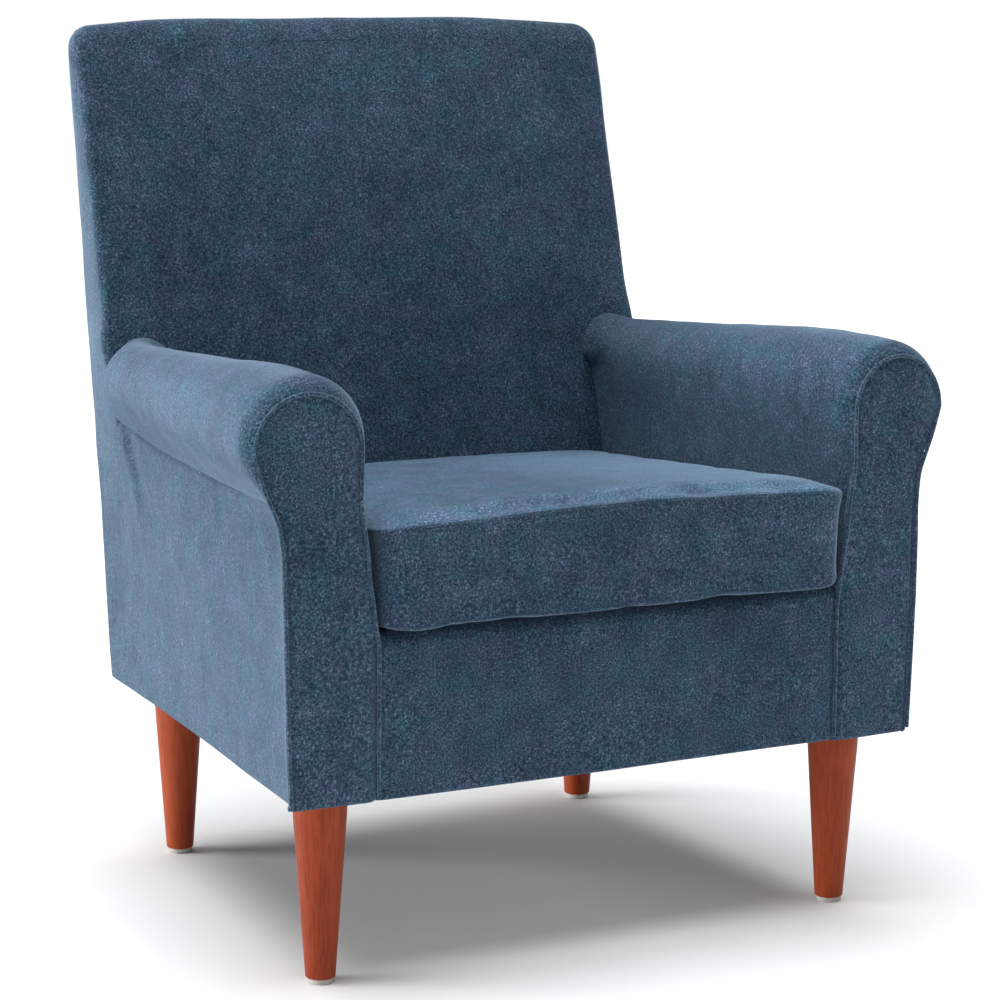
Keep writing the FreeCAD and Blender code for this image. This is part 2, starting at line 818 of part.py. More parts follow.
def add_back_shell():
    """The outside back with its liner, the side borders and the strip over the top."""
    low = size.body_bottom
    high = size.overall_height - size.cover
    low_rear = rear_face(low)
    high_rear = rear_face(high)
    low_width = size.rear_half_width
    high_width = size.back_half_width
    panel = tapered_slab(
        "outside_back_panel", low, high,
        (-low_width, low_width, low_rear - size.panel_cover, low_rear),
        (-high_width, high_width, high_rear - size.panel_cover, high_rear),
    )
    keep(panel, "outside_back_panel")
    liner_low = size.frame_bottom
    liner_high = size.post_top
    side_inset = size.liner_side_inset
    liner = tapered_slab(
        "outside_back_liner", liner_low, liner_high,
        (side_inset - low_width, low_width - side_inset,
         rear_face(liner_low, POST_BACK), rear_face(liner_low, size.panel_cover)),
        (side_inset - high_width, high_width - side_inset,
         rear_face(liner_high, POST_BACK), rear_face(liner_high, size.panel_cover)),
    )
    keep(liner, "outside_back_liner")
    side_low = size.seam_rear - size.border_drop
    border = [
        (back_face(side_low), side_low),
        (rear_face(side_low, size.panel_cover), side_low),
        (rear_face(high, size.panel_cover), high),
        (back_face(high), high),
    ]
    wadding_low = size.back_foam_split + size.wadding_lift
    wadding = [
        (back_face(wadding_low, RAIL_INSET), wadding_low),
        (rear_face(wadding_low, POST_BACK), wadding_low),
        (rear_face(size.post_top, POST_BACK), size.post_top),
        (back_face(size.post_top, RAIL_INSET), size.post_top),
    ]
    pad_width = size.back_half_width - size.panel_cover - size.post_inner - size.post_board
    for name, side in SIDES.items():
        outer = size.back_half_width
        start = outer - size.panel_cover if side > 0 else -outer
        keep(
            prism(f"{name}_back_border", "YZ_Plane", border, size.panel_cover, offset=start),
            f"{name}_back_border",
        )
        post_outer = size.post_inner + size.post_board
        start = post_outer if side > 0 else -(post_outer + pad_width)
        keep(
            prism(f"{name}_back_side_pad", "YZ_Plane", wadding, pad_width, offset=start),
            f"{name}_back_side_pad",
        )
    inner_width = size.back_half_width - size.panel_cover
    crest = size.overall_height
    top = tapered_slab(
        "top_cover", size.post_top, crest,
        (-inner_width, inner_width,
         back_face(size.post_top, size.top_setback), rear_face(size.post_top, size.panel_cover)),
        (-inner_width, inner_width,
         back_face(crest, size.top_setback), rear_face(crest, size.panel_cover)),
    )
    keep(top, "top_cover")


# ---------------------------------------------------------------- seat deck

SPRING_START = SPRING_INSET - float(RAIL_FACE)


def spring_wire(label, across):
    """One zigzag spring: bars across the seat joined by half-round bends."""
    pitch = SPRING_BEND_RADIUS * 2
    straight = SPRING_HALF_WIDTH - SPRING_BEND_RADIUS
    edges = []
    for index in range(SPRING_BARS):
        along = index * pitch
        way = 1 if index % 2 == 0 else -1
        start = Vector(-straight * way, along, 0)
        end = Vector(straight * way, along, 0)
        edges.append(Part.LineSegment(start, end).toShape())
        if index < SPRING_BARS - 1:
            bend = Vector((straight + SPRING_BEND_RADIUS) * way, along + SPRING_BEND_RADIUS, 0)
            landing = Vector(straight * way, along + pitch, 0)
            edges.append(Part.Arc(end, bend, landing).toShape())
    path = Part.Wire(edges)
    start = Vector(-straight, 0, 0)
    profile = Part.Wire(Part.makeCircle(float(size.wire_radius), start, Vector(1, 0, 0)))
    spring = doc.addObject("Part::Feature", label)
    spring.Shape = path.makePipeShell([profile], True, False)
    tilt = -math.degrees(math.atan(float(size.deck_slope)))
    place = Vector(float(across), SPRING_START, float(deck_line(SPRING_START)))
    spring.Placement = FreeCAD.Placement(place, Rotation(Vector(1, 0, 0), tilt))
    return spring


def add_springs():
    """The zigzag springs and the clips that hold their end bars to the rails."""
    springs = []
    clips = []
    run = math.cos(math.atan(float(size.deck_slope))) * SPRING_BEND_RADIUS * 2 * (SPRING_BARS - 1)
    for index in range(SPRING_COUNT):
        across = size.spring_spacing * (index - (SPRING_COUNT - 1) / 2)
        springs.append(spring_wire(f"seat_spring_{index}", across))
        for end, depth in (("front", SPRING_START), ("rear", SPRING_START + run)):
            label = f"spring_clip_{index}_{end}"
            half = size.clip_length * 0.5
            place = (across - half, depth, deck_line(depth))
            ring = cylinder(f"{label}_ring", place, size.clip_radius, size.clip_length, Vector(1, 0, 0))
            bore = cylinder(
                f"{label}_bore", place, size.wire_radius + size.clip_play, size.clip_length, Vector(1, 0, 0)
            )
            clips.append(cut(label, ring, bore))
    group("seat_springs", springs)
    group("spring_clips", clips)


def deck_sheet(label, rise, thickness, front, rear, half_width):
    """A layer of the seat deck, which follows the slope of the springs."""
    corners = [
        (front, deck_line(front, rise)),
        (rear, deck_line(rear, rise)),
        (rear, deck_line(rear, rise + thickness)),
        (front, deck_line(front, rise + thickness)),
    ]
    sheet_body = prism(label, "YZ_Plane", corners, half_width * 2, offset=-half_width)
    return keep(sheet_body, label)


def add_deck():
    """Insulator, foam and cloth over the springs, and the padded border in front."""
    front = -RAIL_FACE
    rear = front + size.deck_length
    rise = size.clip_radius + size.layer_gap
    width = size.deck_half_width
    deck_sheet(
        "spring_insulator", rise, size.insulator, front + size.insulator_setback, rear, width
    )
    rise = rise + size.insulator
    deck_sheet("deck_foam", rise, size.deck_foam, front, rear, width)
    rise = rise + size.deck_foam
    deck_sheet("deck_cloth", rise, size.deck_cloth, front, rear, width)
    border_front = size.border_setback - size.front_reach
    top = size.front_rail_top + size.border_rise
    pad = box(
        "front_rail_pad",
        (-size.leaf_inner, border_front + size.panel_cover, size.frame_bottom),
        (size.leaf_inner, -RAIL_FACE, top),
    )
    keep(pad, "front_rail_pad")
    border = box(
        "front_border",
        (-size.leaf_inner, border_front, size.body_bottom),
        (size.leaf_inner, border_front + size.panel_cover, top),
    )
    keep(border, "front_border")


def add_dust_cover():
    """The thin cloth under the frame, pierced by the legs' bolts."""
    front = size.border_setback + size.panel_cover - size.front_reach
    rear = size.rear_reach - size.panel_cover
    front_half = size.front_half_width - size.dust_front_inset
    rear_half = size.rear_half_width - size.dust_rear_inset
    corners = [
        (-front_half, front),
        (front_half, front),
        (rear_half, rear),
        (-rear_half, rear),
    ]
    cloth = prism("dust_cover_blank", "XY_Plane", corners, size.deck_cloth, (0, 0, size.body_bottom))
    bolts = []
    for name, _, across, depth in leg_places():
        bolts.append(leg_bolt(f"{name}_dust_hole", across, depth))
    keep(cut("dust_cover", cloth, fuse("dust_cover_holes", *bolts)), "dust_cover")


# ---------------------------------------------------------------- loose cushion


def cushion_blank(label, shrink):
    """The cushion's rounded block, which leans with the back at its rear."""
    front = as_size(shrink) - size.cushion_front
    bottom = size.cushion_bottom + shrink
    top = size.cushion_bottom + size.cushion_thickness - shrink
    gap = -size.cushion_gap
    slope = size.deck_slope
    rear_low = back_face(size.lumbar_bottom - size.cushion_rear_low, gap) - shrink
    rear_high = back_face(size.lumbar_bottom + size.cushion_rear_high, gap) - shrink
    run = rear_high - front
    low_drop = (rear_low - front) * slope
    high_drop = run * slope
    corners = [
        (front, bottom),
        (rear_low, bottom - low_drop),
        (rear_high, top - high_drop),
        (front, top),
    ]
    half = size.cushion_half_width - shrink
    body = prism(label, "YZ_Plane", corners, half * 2, offset=-half)
    doc.recompute()
    block = body.Tip
    edges = [f"Edge{number}" for number in range(1, len(block.Shape.Edges) + 1)]
    rounding = body.newObject("PartDesign::Fillet", f"{label}_rounding")
    rounding.Base = (block, edges)
    rounding.setExpression("Radius", (size.cushion_corner - as_size(shrink)).formula)
    body.Tip = rounding
    return body


def add_cushion():
    """Foam core in a sewn cover, with a zip along the rear boxing."""
    outer = cushion_blank("cushion_cover_outer", 0)
    inner = cushion_blank("cushion_cover_inner", size.cushion_cover)
    keep(cut("cushion_cover", outer, inner), "cushion_cover")
    keep(cushion_blank("cushion_core", size.cushion_cover), "cushion_core")
    centre = size.lumbar_bottom + size.zip_level
    half = size.zip_tape_width * 0.5
    tape = zip_slice(centre - half, centre + half, 0, size.zip_tape_thickness)
    keep(
        prism("cushion_zip", "YZ_Plane", tape, size.zip_half_length * 2, offset=-size.zip_half_length),
        "cushion_zip",
    )
    rest = size.zip_half_length - size.slider_length - size.slider_end_gap
    front = size.zip_tape_thickness + size.slider_gap
    half = size.slider_height * 0.5
    slider = zip_slice(centre - half, centre + half, front, size.slider_depth)
    keep(prism("zip_slider", "YZ_Plane", slider, size.slider_length, offset=rest), "zip_slider")
    half = size.tab_half_height
    tab_thickness = size.slider_depth * TAB_THICKNESS_SHARE
    tab = zip_slice(centre - half, centre + half, front, tab_thickness)
    keep(prism("zip_pull", "YZ_Plane", tab, size.tab_length, offset=rest - size.tab_length), "zip_pull")


def zip_slice(low, high, rise, thickness):
    """A strip that lies on the cushion's rear face, raised behind it by a rise."""
    near = as_size(rise) - size.cushion_gap
    return [
        (back_face(low, near), low),
        (back_face(low, near + thickness), low),
        (back_face(high, near + thickness), high),
        (back_face(high, near), high),
    ]


add_seat_frame()
add_corner_blocks()
add_legs()
add_back_frame()
add_back_webbing()
add_scroll_boards()
add_arms()
add_back_padding()
add_back_shell()
add_springs()
add_deck()
add_dust_cover()
add_cushion()

doc.recompute()
for item in doc.Objects:
    for fault in ("Invalid", "Error"):
        if fault in item.State:
            raise RuntimeError(f"{item.Name} did not recompute: {item.State}")
for item in sub_parts:
    if item.Shape.isNull() or not item.Shape.isValid():
        raise RuntimeError(f"{item.Label} has no valid shape")

os.makedirs("parts", exist_ok=True)
for item in sub_parts:
    item.Shape.exportStep(f"parts/{item.Label}.step")
print(len(sub_parts), "sub-parts written")
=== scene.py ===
import bisect
import json
import math
import bmesh
import bpy
import numpy as np
from mathutils import Matrix, Vector, noise
from mathutils.bvhtree import BVHTree


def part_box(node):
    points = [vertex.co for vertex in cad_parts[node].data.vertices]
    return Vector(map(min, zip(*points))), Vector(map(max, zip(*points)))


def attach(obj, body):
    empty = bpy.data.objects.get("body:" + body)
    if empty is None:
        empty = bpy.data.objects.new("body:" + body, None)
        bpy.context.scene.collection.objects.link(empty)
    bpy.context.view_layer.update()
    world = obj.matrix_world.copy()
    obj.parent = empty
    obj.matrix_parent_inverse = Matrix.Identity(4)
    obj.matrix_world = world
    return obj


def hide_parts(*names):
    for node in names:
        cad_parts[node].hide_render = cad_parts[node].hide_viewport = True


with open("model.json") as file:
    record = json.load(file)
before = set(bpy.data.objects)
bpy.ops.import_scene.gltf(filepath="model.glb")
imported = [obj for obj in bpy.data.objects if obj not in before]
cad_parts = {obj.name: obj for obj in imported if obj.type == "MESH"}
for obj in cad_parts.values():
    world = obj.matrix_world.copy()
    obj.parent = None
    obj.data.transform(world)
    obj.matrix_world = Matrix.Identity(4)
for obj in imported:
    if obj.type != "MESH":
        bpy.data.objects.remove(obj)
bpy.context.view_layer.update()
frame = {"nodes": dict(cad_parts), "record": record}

record = frame["record"]
scene = bpy.context.scene
MM = 0.001
SIDES = {"left": -1, "right": 1}


def low(node, axis):
    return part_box(node)[0]["xyz".index(axis)]


def high(node, axis):
    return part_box(node)[1]["xyz".index(axis)]


def mm(*values):
    return [v * MM for v in values]


def smooth(start, end, value):
    t = min(max((value - start) / (end - start), 0.0), 1.0)
    return t * t * (3 - 2 * t)


def through(value, places, levels):
    """A smooth curve through a few points, read at value."""
    last = len(places) - 1
    i = min(max(bisect.bisect(places, value) - 1, 0), last - 1)

    def slope(k):
        a, b = max(k - 1, 0), min(k + 1, last)
        return (levels[b] - levels[a]) / (places[b] - places[a])

    gap = places[i + 1] - places[i]
    t = min(max((value - places[i]) / gap, 0.0), 1.0)
    a = levels[i] * (1 + 2 * t) * (1 - t) ** 2 + levels[i + 1] * t * t * (3 - 2 * t)
    return a + gap * (slope(i) * t * (1 - t) ** 2 - slope(i + 1) * t * t * (1 - t))


# ---------------------------------------------------------------- places read from the CAD frame
FRONT = low("left_arm_front_panel", "y")
BOTTOM = low("left_arm_front_panel", "z")
HEM = BOTTOM - 1.5 * MM
BORDER_HALF = high("front_border", "x")
HEAD_OUTER = high("right_arm_front_panel", "x")
HEAD_TOP = high("right_arm_front_panel", "z")
HEAD_RADIUS = 52 * MM
HEAD_X = HEAD_OUTER - HEAD_RADIUS
HEAD_INNER = HEAD_OUTER - 2 * HEAD_RADIUS
HEAD_Z = HEAD_TOP - HEAD_RADIUS
TOP = high("top_cover", "z")
BACK_SLOPE = 0.277
REAR_SLOPE = 0.0909
DECK_SLOPE = 0.08
BACK_START = (low("left_back_border", "y"), low("left_back_border", "z"))
REAR_END = (high("outside_back_panel", "y"), high("outside_back_panel", "z"))


def back_front(z):
    """Depth of the reclined front plane of the back at a height."""
    return BACK_START[0] + BACK_SLOPE * (z - BACK_START[1])


def back_rear(z):
    return REAR_END[0] - REAR_SLOPE * (REAR_END[1] - z)


# ---------------------------------------------------------------- mesh tools
class Shape:
    """Points and faces that grow grid by grid."""

    def __init__(self):
        self.points = []
        self.faces = []

    def add(self, points, faces):
        start = len(self.points)
        self.points += [tuple(p) for p in points]
        self.faces += [tuple(start + i for i in face) for face in faces]
        return self

    def grid(self, rows, around=False, flip=False):
        """rows[r][c] is a point; around joins the last column to the first."""
        rows = np.asarray(rows, float)
        count, width = rows.shape[:2]
        faces = []
        for r in range(count - 1):
            for c in range(width if around else width - 1):
                d = (c + 1) % width
                face = (r * width + c, r * width + d, (r + 1) * width + d, (r + 1) * width + c)
                faces.append(face[::-1] if flip else face)
        return self.add(rows.reshape(-1, 3), faces)

    def loft(self, rings):
        """A closed form through closed rings of points, with a flat cap at each end."""
        rings = np.asarray(rings, float)
        self.grid(rings, around=True)
        width, total = rings.shape[1], len(self.points)
        first = total - rings.shape[0] * rings.shape[1]
        self.faces.append(tuple(range(first, first + width))[::-1])
        self.faces.append(tuple(range(total - width, total)))
        return self

    def tube(self, path, radius, closed=False, sides=8):
        """A round ridge along a path of points."""
        path = np.asarray(path, float)
        if closed:
            along = np.roll(path, -1, 0) - np.roll(path, 1, 0)
        else:
            along = np.gradient(path, axis=0)
        along /= np.linalg.norm(along, axis=1)[:, None]
        lead = Vector(along[0]).orthogonal().normalized()
        rings = []
        for p, t in zip(path, along):
            t = Vector(t)
            lead = (lead - t * lead.dot(t)).normalized()
            other = t.cross(lead)
            turns = [2 * math.pi * k / sides for k in range(sides)]
            spokes = [lead * math.cos(a) + other * math.sin(a) for a in turns]
            rings.append([Vector(p) + radius * spoke for spoke in spokes])
        if not closed:
            return self.loft(rings)
        rings.append(rings[0])
        return self.grid(rings, around=True)

    def mirrored(self):
        """The same shape on the other side of the chair."""
        other = Shape()
        flipped = [(-x, y, z) for x, y, z in self.points]
        return other.add(flipped, [face[::-1] for face in self.faces])


def apply_all(obj):
    bpy.context.view_layer.update()
    evaluated = obj.evaluated_get(bpy.context.evaluated_depsgraph_get())
    mesh = bpy.data.meshes.new_from_object(evaluated)
    obj.modifiers.clear()
    old, obj.data = obj.data, mesh
    bpy.data.meshes.remove(old)
    mesh.name = obj.name


def build(name, shape, weld=0.05 * MM, thick=None, sharp=50):
    """Makes an object of a shape; thick closes an open surface towards its inside."""
    mesh = bpy.data.meshes.new(name)
    mesh.from_pydata(shape.points, [], shape.faces)
    bm = bmesh.new()
    bm.from_mesh(mesh)
    bmesh.ops.remove_doubles(bm, verts=bm.verts, dist=weld)
    bmesh.ops.dissolve_degenerate(bm, dist=0.01 * MM, edges=bm.edges)
    if thick is None:
        bmesh.ops.recalc_face_normals(bm, faces=bm.faces)
    bm.to_mesh(mesh)
    bm.free()
    obj = bpy.data.objects.new(name, mesh)
    scene.collection.objects.link(obj)
    if thick is not None:
        solid = obj.modifiers.new("thickness", "SOLIDIFY")
        solid.thickness, solid.offset = thick, -1
        apply_all(obj)
    obj.data.shade_smooth()
    obj.data.set_sharp_from_angle(angle=math.radians(sharp))
    return obj


def crumple(obj, amount, size, seed=0, stretch=(1, 1, 1)):
    """Moves each point a little along its normal, by soft noise of one size."""
    shift = Vector((seed * 7.3, seed * 3.1, seed * 5.7))
    mesh = obj.data
    normals = [v.normal.copy() for v in mesh.vertices]
    for v, normal in zip(mesh.vertices, normals):
        place = Vector([c / (size * s) for c, s in zip(v.co, stretch)])
        v.co += normal * amount * noise.noise(place + shift)


def edge_steps(length, middle, edges=(0, 0.8, 1.6, 2.6, 4, 6, 9, 13, 19, 27)):
    """Distances across a panel, close together near both of its edges."""
    near = [e * MM for e in edges if e * MM < length * 0.4]
    inner = np.linspace(near[-1], length - near[-1], middle + 2)[1:-1]
    return np.array(near + list(inner) + [length - e for e in reversed(near)])


# ---------------------------------------------------------------- materials
class Nodes:
    """Short names for building a material's node tree."""

    def __init__(self, name):
        self.material = bpy.data.materials.new(name)
        self.material.use_nodes = True
        self.tree = self.material.node_tree
        self.shader = self.tree.nodes["Principled BSDF"]
        self.place = self.tree.nodes.new("ShaderNodeTexCoord").outputs["Object"]

    def node(self, kind, **settings):
        made = self.tree.nodes.new("ShaderNode" + kind)
        for key, value in settings.items():
            setattr(made, key, value)
        return made

    def join(self, source, target):
        self.tree.links.new(source, target)

    def stretched(self, scale):
        made = self.node("Mapping")
        made.inputs["Scale"].default_value = scale
        self.join(self.place, made.inputs["Vector"])
        return made.outputs["Vector"]

    def noise(self, scale, detail=2.0, roughness=0.5, stretch=(1, 1, 1)):
        made = self.node("TexNoise")
        made.inputs["Scale"].default_value = scale
        made.inputs["Detail"].default_value = detail
        made.inputs["Roughness"].default_value = roughness
        self.join(self.stretched(stretch), made.inputs["Vector"])
        return made.outputs["Fac"]

    def ramp(self, factor, *stops):
        made = self.node("ValToRGB")
        ramp = made.color_ramp
        while len(ramp.elements) < len(stops):
            ramp.elements.new(0.5)
        for element, (place, color) in zip(ramp.elements, stops):
            element.position = place
            element.color = (*color, 1) if hasattr(color, "__len__") else (color,) * 3 + (1,)
        self.join(factor, made.inputs["Fac"])
        return made.outputs["Color"]

    def mix(self, factor, first, second, blend="MIX"):
        made = self.node("Mix", data_type="RGBA", blend_type=blend)
        sockets = made.inputs[0], made.inputs[6], made.inputs[7]
        for socket, value in zip(sockets, (factor, first, second)):
            if isinstance(value, (int, float)):
                socket.default_value = value
            elif isinstance(value, tuple):
                socket.default_value = (*value, 1)
            else:
                self.join(value, socket)
        return made.outputs[2]

    def bump(self, *layers):
        """layers are (height, strength, distance), each on top of the one before."""
        last = None
        for height, strength, distance in layers:
            made = self.node("Bump")
            made.inputs["Strength"].default_value = strength
            made.inputs["Distance"].default_value = distance
            self.join(height, made.inputs["Height"])
            if last:
                self.join(last, made.inputs["Normal"])
            last = made.outputs["Normal"]
        self.join(last, self.shader.inputs["Normal"])

    def set(self, **values):
        for name, value in values.items():
            socket = self.shader.inputs[name.replace("_", " ")]
            if isinstance(value, (int, float)):
                socket.default_value = value
            elif isinstance(value, tuple):
                socket.default_value = (*value, 1)
            else:
                self.join(value, socket)
        return self.material


# Stops of the velvet's colour, from its dark ground up to its pale flecks.
VELVET = ((0.36, (0.006, 0.020, 0.043)), (0.50, (0.031, 0.060, 0.098)),
          (0.58, (0.056, 0.097, 0.144)), (0.68, (0.175, 0.230, 0.288)))
TEAL = (0.80, 1.05, 1.02)
VIOLET = (1.20, 0.97, 1.08)
SHEEN_TINT = (0.58, 0.78, 1.0)


def velvet(name, streak, sheen=0.60, spread=0.38, lift=1.0):
    """Napped tweed velvet: dark ground, pale flecks, blotches where the nap lies another way."""
    n = Nodes(name)
    yarn = n.noise(470, detail=3, roughness=0.8)
    grain = n.ramp(yarn, *[(place, tuple(lift * c for c in color)) for place, color in VELVET])
    violet = n.noise(34, detail=3, roughness=0.6)
    tint = n.ramp(violet, (0.36, TEAL), (0.50, (1.0, 1.0, 1.0)), (0.64, VIOLET))
    coloured = n.mix(1.0, grain, tint, "MULTIPLY")
    nap = n.noise(30, detail=4, roughness=0.6)
    blotch = n.ramp(nap, (0.32, 0.82), (0.50, 1.0), (0.68, 1.20))
    brushed = n.mix(1.0, coloured, blotch, "MULTIPLY")
    wide = n.noise(6, detail=2)
    worn = n.mix(1.0, brushed, n.ramp(wide, (0.35, 0.91), (0.65, 1.09)), "MULTIPLY")
    brush = n.noise(90, detail=4, roughness=0.65, stretch=streak)
    mottled = n.mix(1.0, worn, n.ramp(brush, (0.32, 0.90), (0.50, 1.0), (0.68, 1.12)), "MULTIPLY")
    rough = n.ramp(nap, (0.3, 0.92), (0.7, 0.78))
    pile = n.noise(1100, detail=2, roughness=0.7)
    n.bump((nap, 0.20, 5 * MM), (brush, 0.16, 2 * MM), (yarn, 0.50, 1.0 * MM), (pile, 0.35, 0.6 * MM))
    return n.set(Base_Color=mottled, Roughness=rough, Sheen_Weight=sheen, Sheen_Roughness=spread,
                 Sheen_Tint=SHEEN_TINT, Specular_IOR_Level=0.08)


def wood(name, dark, mid, light, gloss, scale=1.0, coat=0.0, shine=0.5):
    """Straight-grained wood, with its grain along z."""
    n = Nodes(name)
    rings = n.noise(34 * scale, detail=4, roughness=0.55, stretch=(1, 1, 0.10))
    pores = n.noise(420 * scale, detail=2, roughness=0.6, stretch=(1, 1, 0.05))
    grain = n.ramp(rings, (0.34, dark), (0.50, mid), (0.66, light))
    flecked = n.mix(0.35, grain, n.ramp(pores, (0.40, dark), (0.58, light)))
    n.bump((pores, 0.12, 0.3 * MM))
    rough = n.ramp(pores, (0.4, gloss + 0.10), (0.6, gloss))
    return n.set(Base_Color=flecked, Roughness=rough, Coat_Weight=coat, Coat_Roughness=0.22,
                 Specular_IOR_Level=shine)


def cloth(name, first, second, weave, rough, sheen):
    """A plain woven or pressed cloth."""
    n = Nodes(name)
    fine = n.noise(weave, detail=2, roughness=0.7)
    wide = n.noise(18, detail=4)
    close = n.ramp(fine, (0.35, first), (0.65, second))
    color = n.mix(0.4, close, n.ramp(wide, (0.3, first), (0.7, second)))
    n.bump((fine, 0.4, 0.5 * MM))
    return n.set(Base_Color=color, Roughness=rough, Sheen_Weight=sheen, Specular_IOR_Level=0.2)


def metal(name, color, rough, metallic=1.0):
    n = Nodes(name)
    wear = n.noise(160, detail=4, roughness=0.65)
    shade = n.ramp(wear, (0.35, tuple(0.8 * c for c in color)), (0.65, color))
    n.bump((wear, 0.05, 0.2 * MM))
    dull = n.ramp(wear, (0.3, rough + 0.12), (0.7, rough))
    return n.set(Base_Color=shade, Roughness=dull, Metallic=metallic)


def plastic(name, color, rough):
    n = Nodes(name)
    grain = n.noise(700, detail=2)
    marks = n.noise(60, detail=4)
    shade = n.ramp(marks, (0.3, tuple(0.86 * c for c in color)), (0.7, color))
    n.bump((grain, 0.08, 0.2 * MM))
    return n.set(Base_Color=shade, Roughness=n.ramp(marks, (0.3, rough + 0.1), (0.7, rough)))


FINISH = {
    "upholstery_fabric": velvet("upholstery_fabric", streak=(1, 1, 0.45)),
    "leg_wood": wood("leg_wood", (0.21, 0.028, 0.006), (0.30, 0.044, 0.011), (0.37, 0.062, 0.017),
                     gloss=0.45, coat=0.03, shine=0.18),
    "frame_timber": wood("frame_timber", (0.36, 0.23, 0.11), (0.48, 0.33, 0.18), (0.60, 0.44, 0.26),
                         gloss=0.7),
    "scroll_plywood": wood("scroll_plywood", (0.42, 0.28, 0.15), (0.55, 0.40, 0.23),
                           (0.66, 0.51, 0.32), gloss=0.7, scale=1.6),
    "liner_board": cloth("liner_board", (0.24, 0.19, 0.13), (0.38, 0.31, 0.22),
                         weave=300, rough=0.85, sheen=0.0),
    "foam": cloth("foam", (0.70, 0.64, 0.44), (0.84, 0.79, 0.60), weave=700, rough=0.95, sheen=0.1),
    "wadding": cloth("wadding", (0.74, 0.74, 0.70), (0.90, 0.90, 0.88),
                     weave=240, rough=1.0, sheen=0.4),
    "webbing": cloth("webbing", (0.20, 0.16, 0.11), (0.34, 0.29, 0.21),
                     weave=520, rough=0.85, sheen=0.1),
    "spring_steel": metal("spring_steel", (0.12, 0.12, 0.13), rough=0.38),
    "plated_steel": metal("plated_steel", (0.62, 0.62, 0.60), rough=0.30),
    "clip_plastic": plastic("clip_plastic", (0.70, 0.69, 0.64), rough=0.45),
    "glide_plastic": plastic("glide_plastic", (0.55, 0.53, 0.49), rough=0.42),
    "dust_cloth": cloth("dust_cloth", (0.010, 0.010, 0.012), (0.030, 0.030, 0.034),
                        weave=640, rough=0.95, sheen=0.15),
    "deck_cloth": cloth("deck_cloth", (0.014, 0.024, 0.044), (0.034, 0.052, 0.084),
                        weave=1100, rough=0.9, sheen=0.2),
    "felt": cloth("felt", (0.14, 0.13, 0.12), (0.30, 0.28, 0.26), weave=260, rough=1.0, sheen=0.3),
    "zip_nylon": plastic("zip_nylon", (0.016, 0.030, 0.056), rough=0.5),
    "zip_metal": metal("zip_metal", (0.022, 0.032, 0.058), rough=0.35, metallic=0.4),
}
VELVET_ACROSS = velvet("upholstery_fabric_across", streak=(0.45, 1, 1))
# A lighter copy of the velvet for the seat's top: painted light where the top lamp falls on it.
VELVET_PAINTED_LIT_TOP = velvet("upholstery_fabric_painted_lit_top", streak=(0.45, 1, 1), sheen=0.72, spread=0.44, lift=1.80)
# A slightly lighter copy of the velvet for the seam ridges: painted highlight along the seams.
VELVET_WELT_HIGHLIGHT = velvet("upholstery_fabric_welt_highlight", streak=(1, 1, 1), sheen=0.80, spread=0.42, lift=1.05)


def dress(piece, slot, body="chair", material=None):
    """Material, material slot and body of a new piece."""
    piece.data.materials.clear()
    piece.data.materials.append(material or FINISH[slot])
    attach(piece, body)
    return piece


for part in record["subparts"]:
    node = frame["nodes"][part["node"]]
    for place in node.material_slots:
        place.material = FINISH[part["material_slot"]]
    if not node.material_slots:
        node.data.materials.append(FINISH[part["material_slot"]])

# ---------------------------------------------------------------- arm front panels
# Outline of a panel below its round head: heights, inner edge, outer edge.
NECK_Z = mm(180.5, 243, 320, 338, 357, 384, 404, 431, 443, 459, 476, 502)
NECK_INNER = mm(245, 245, 245, 247.5, 250, 254, 255.5, 259, 261, 262, 261.5, 261)
NECK_OUTER = mm(331, 333, 335, 335, 335.5, 336.5, 337, 340, 343, 350, 357, 365)
PANEL_WIDTH = 86 * MM
PANEL_SETBACK = 1.5 * MM
PANEL_SWELL = 1.2 * MM
GROOVE = 3.8 * MM
RIDGE = 1.9 * MM
RIDGE_SETBACK = 0.4 * MM
RIDGE_START = 3 * MM
HEM_CURL = 3 * MM
HEM_ROUND = 4 * MM
HEAD_SQUEEZE = 7 * MM
SQUEEZE_Z = mm(330, 475)
SQUEEZE_Y = mm(60, -220)


def panel_edges(z):
    """Inner and outer edge of an arm front at a height."""
    if z > HEAD_Z:
        reach = math.sqrt(max(HEAD_RADIUS ** 2 - (z - HEAD_Z) ** 2, 0))
        return HEAD_X - reach, HEAD_X + reach
    return through(z, NECK_Z, NECK_INNER), through(z, NECK_Z, NECK_OUTER)


def panel_levels():
    hem = [HEM, HEM + 2 * MM, HEM + 5 * MM]
    lower = np.concatenate([hem, np.arange(HEM + 12 * MM, HEAD_Z, 7 * MM)])
    head = [HEAD_Z + HEAD_RADIUS * math.sin(a) for a in np.linspace(0, math.pi / 2, 26)]
    return list(lower) + head


def panel_path():
    """The seam round an arm front, from its outer foot over the head to its inner foot."""
    levels = panel_levels()
    up = [(panel_edges(z)[1], z) for z in levels]
    down = [(panel_edges(z)[0], z) for z in reversed(levels[:-1])]
    return up + down


def distance_to(path, x, z):
    """How far a point of the front is from a path of (x, z) points."""
    path = np.asarray(path)
    a, b = path[:-1], path[1:]
    run = b - a
    t = np.clip(((np.array([x, z]) - a) * run).sum(1) / np.maximum((run ** 2).sum(1), 1e-12), 0, 1)
    near = a + run * t[:, None]
    return np.sqrt(((near - [x, z]) ** 2).sum(1)).min()


def hem_curl(z):
    """How far a cover turns in just above its hem."""
    return HEM_CURL * (1 - smooth(0, HEM_ROUND, z - HEM)) ** 2


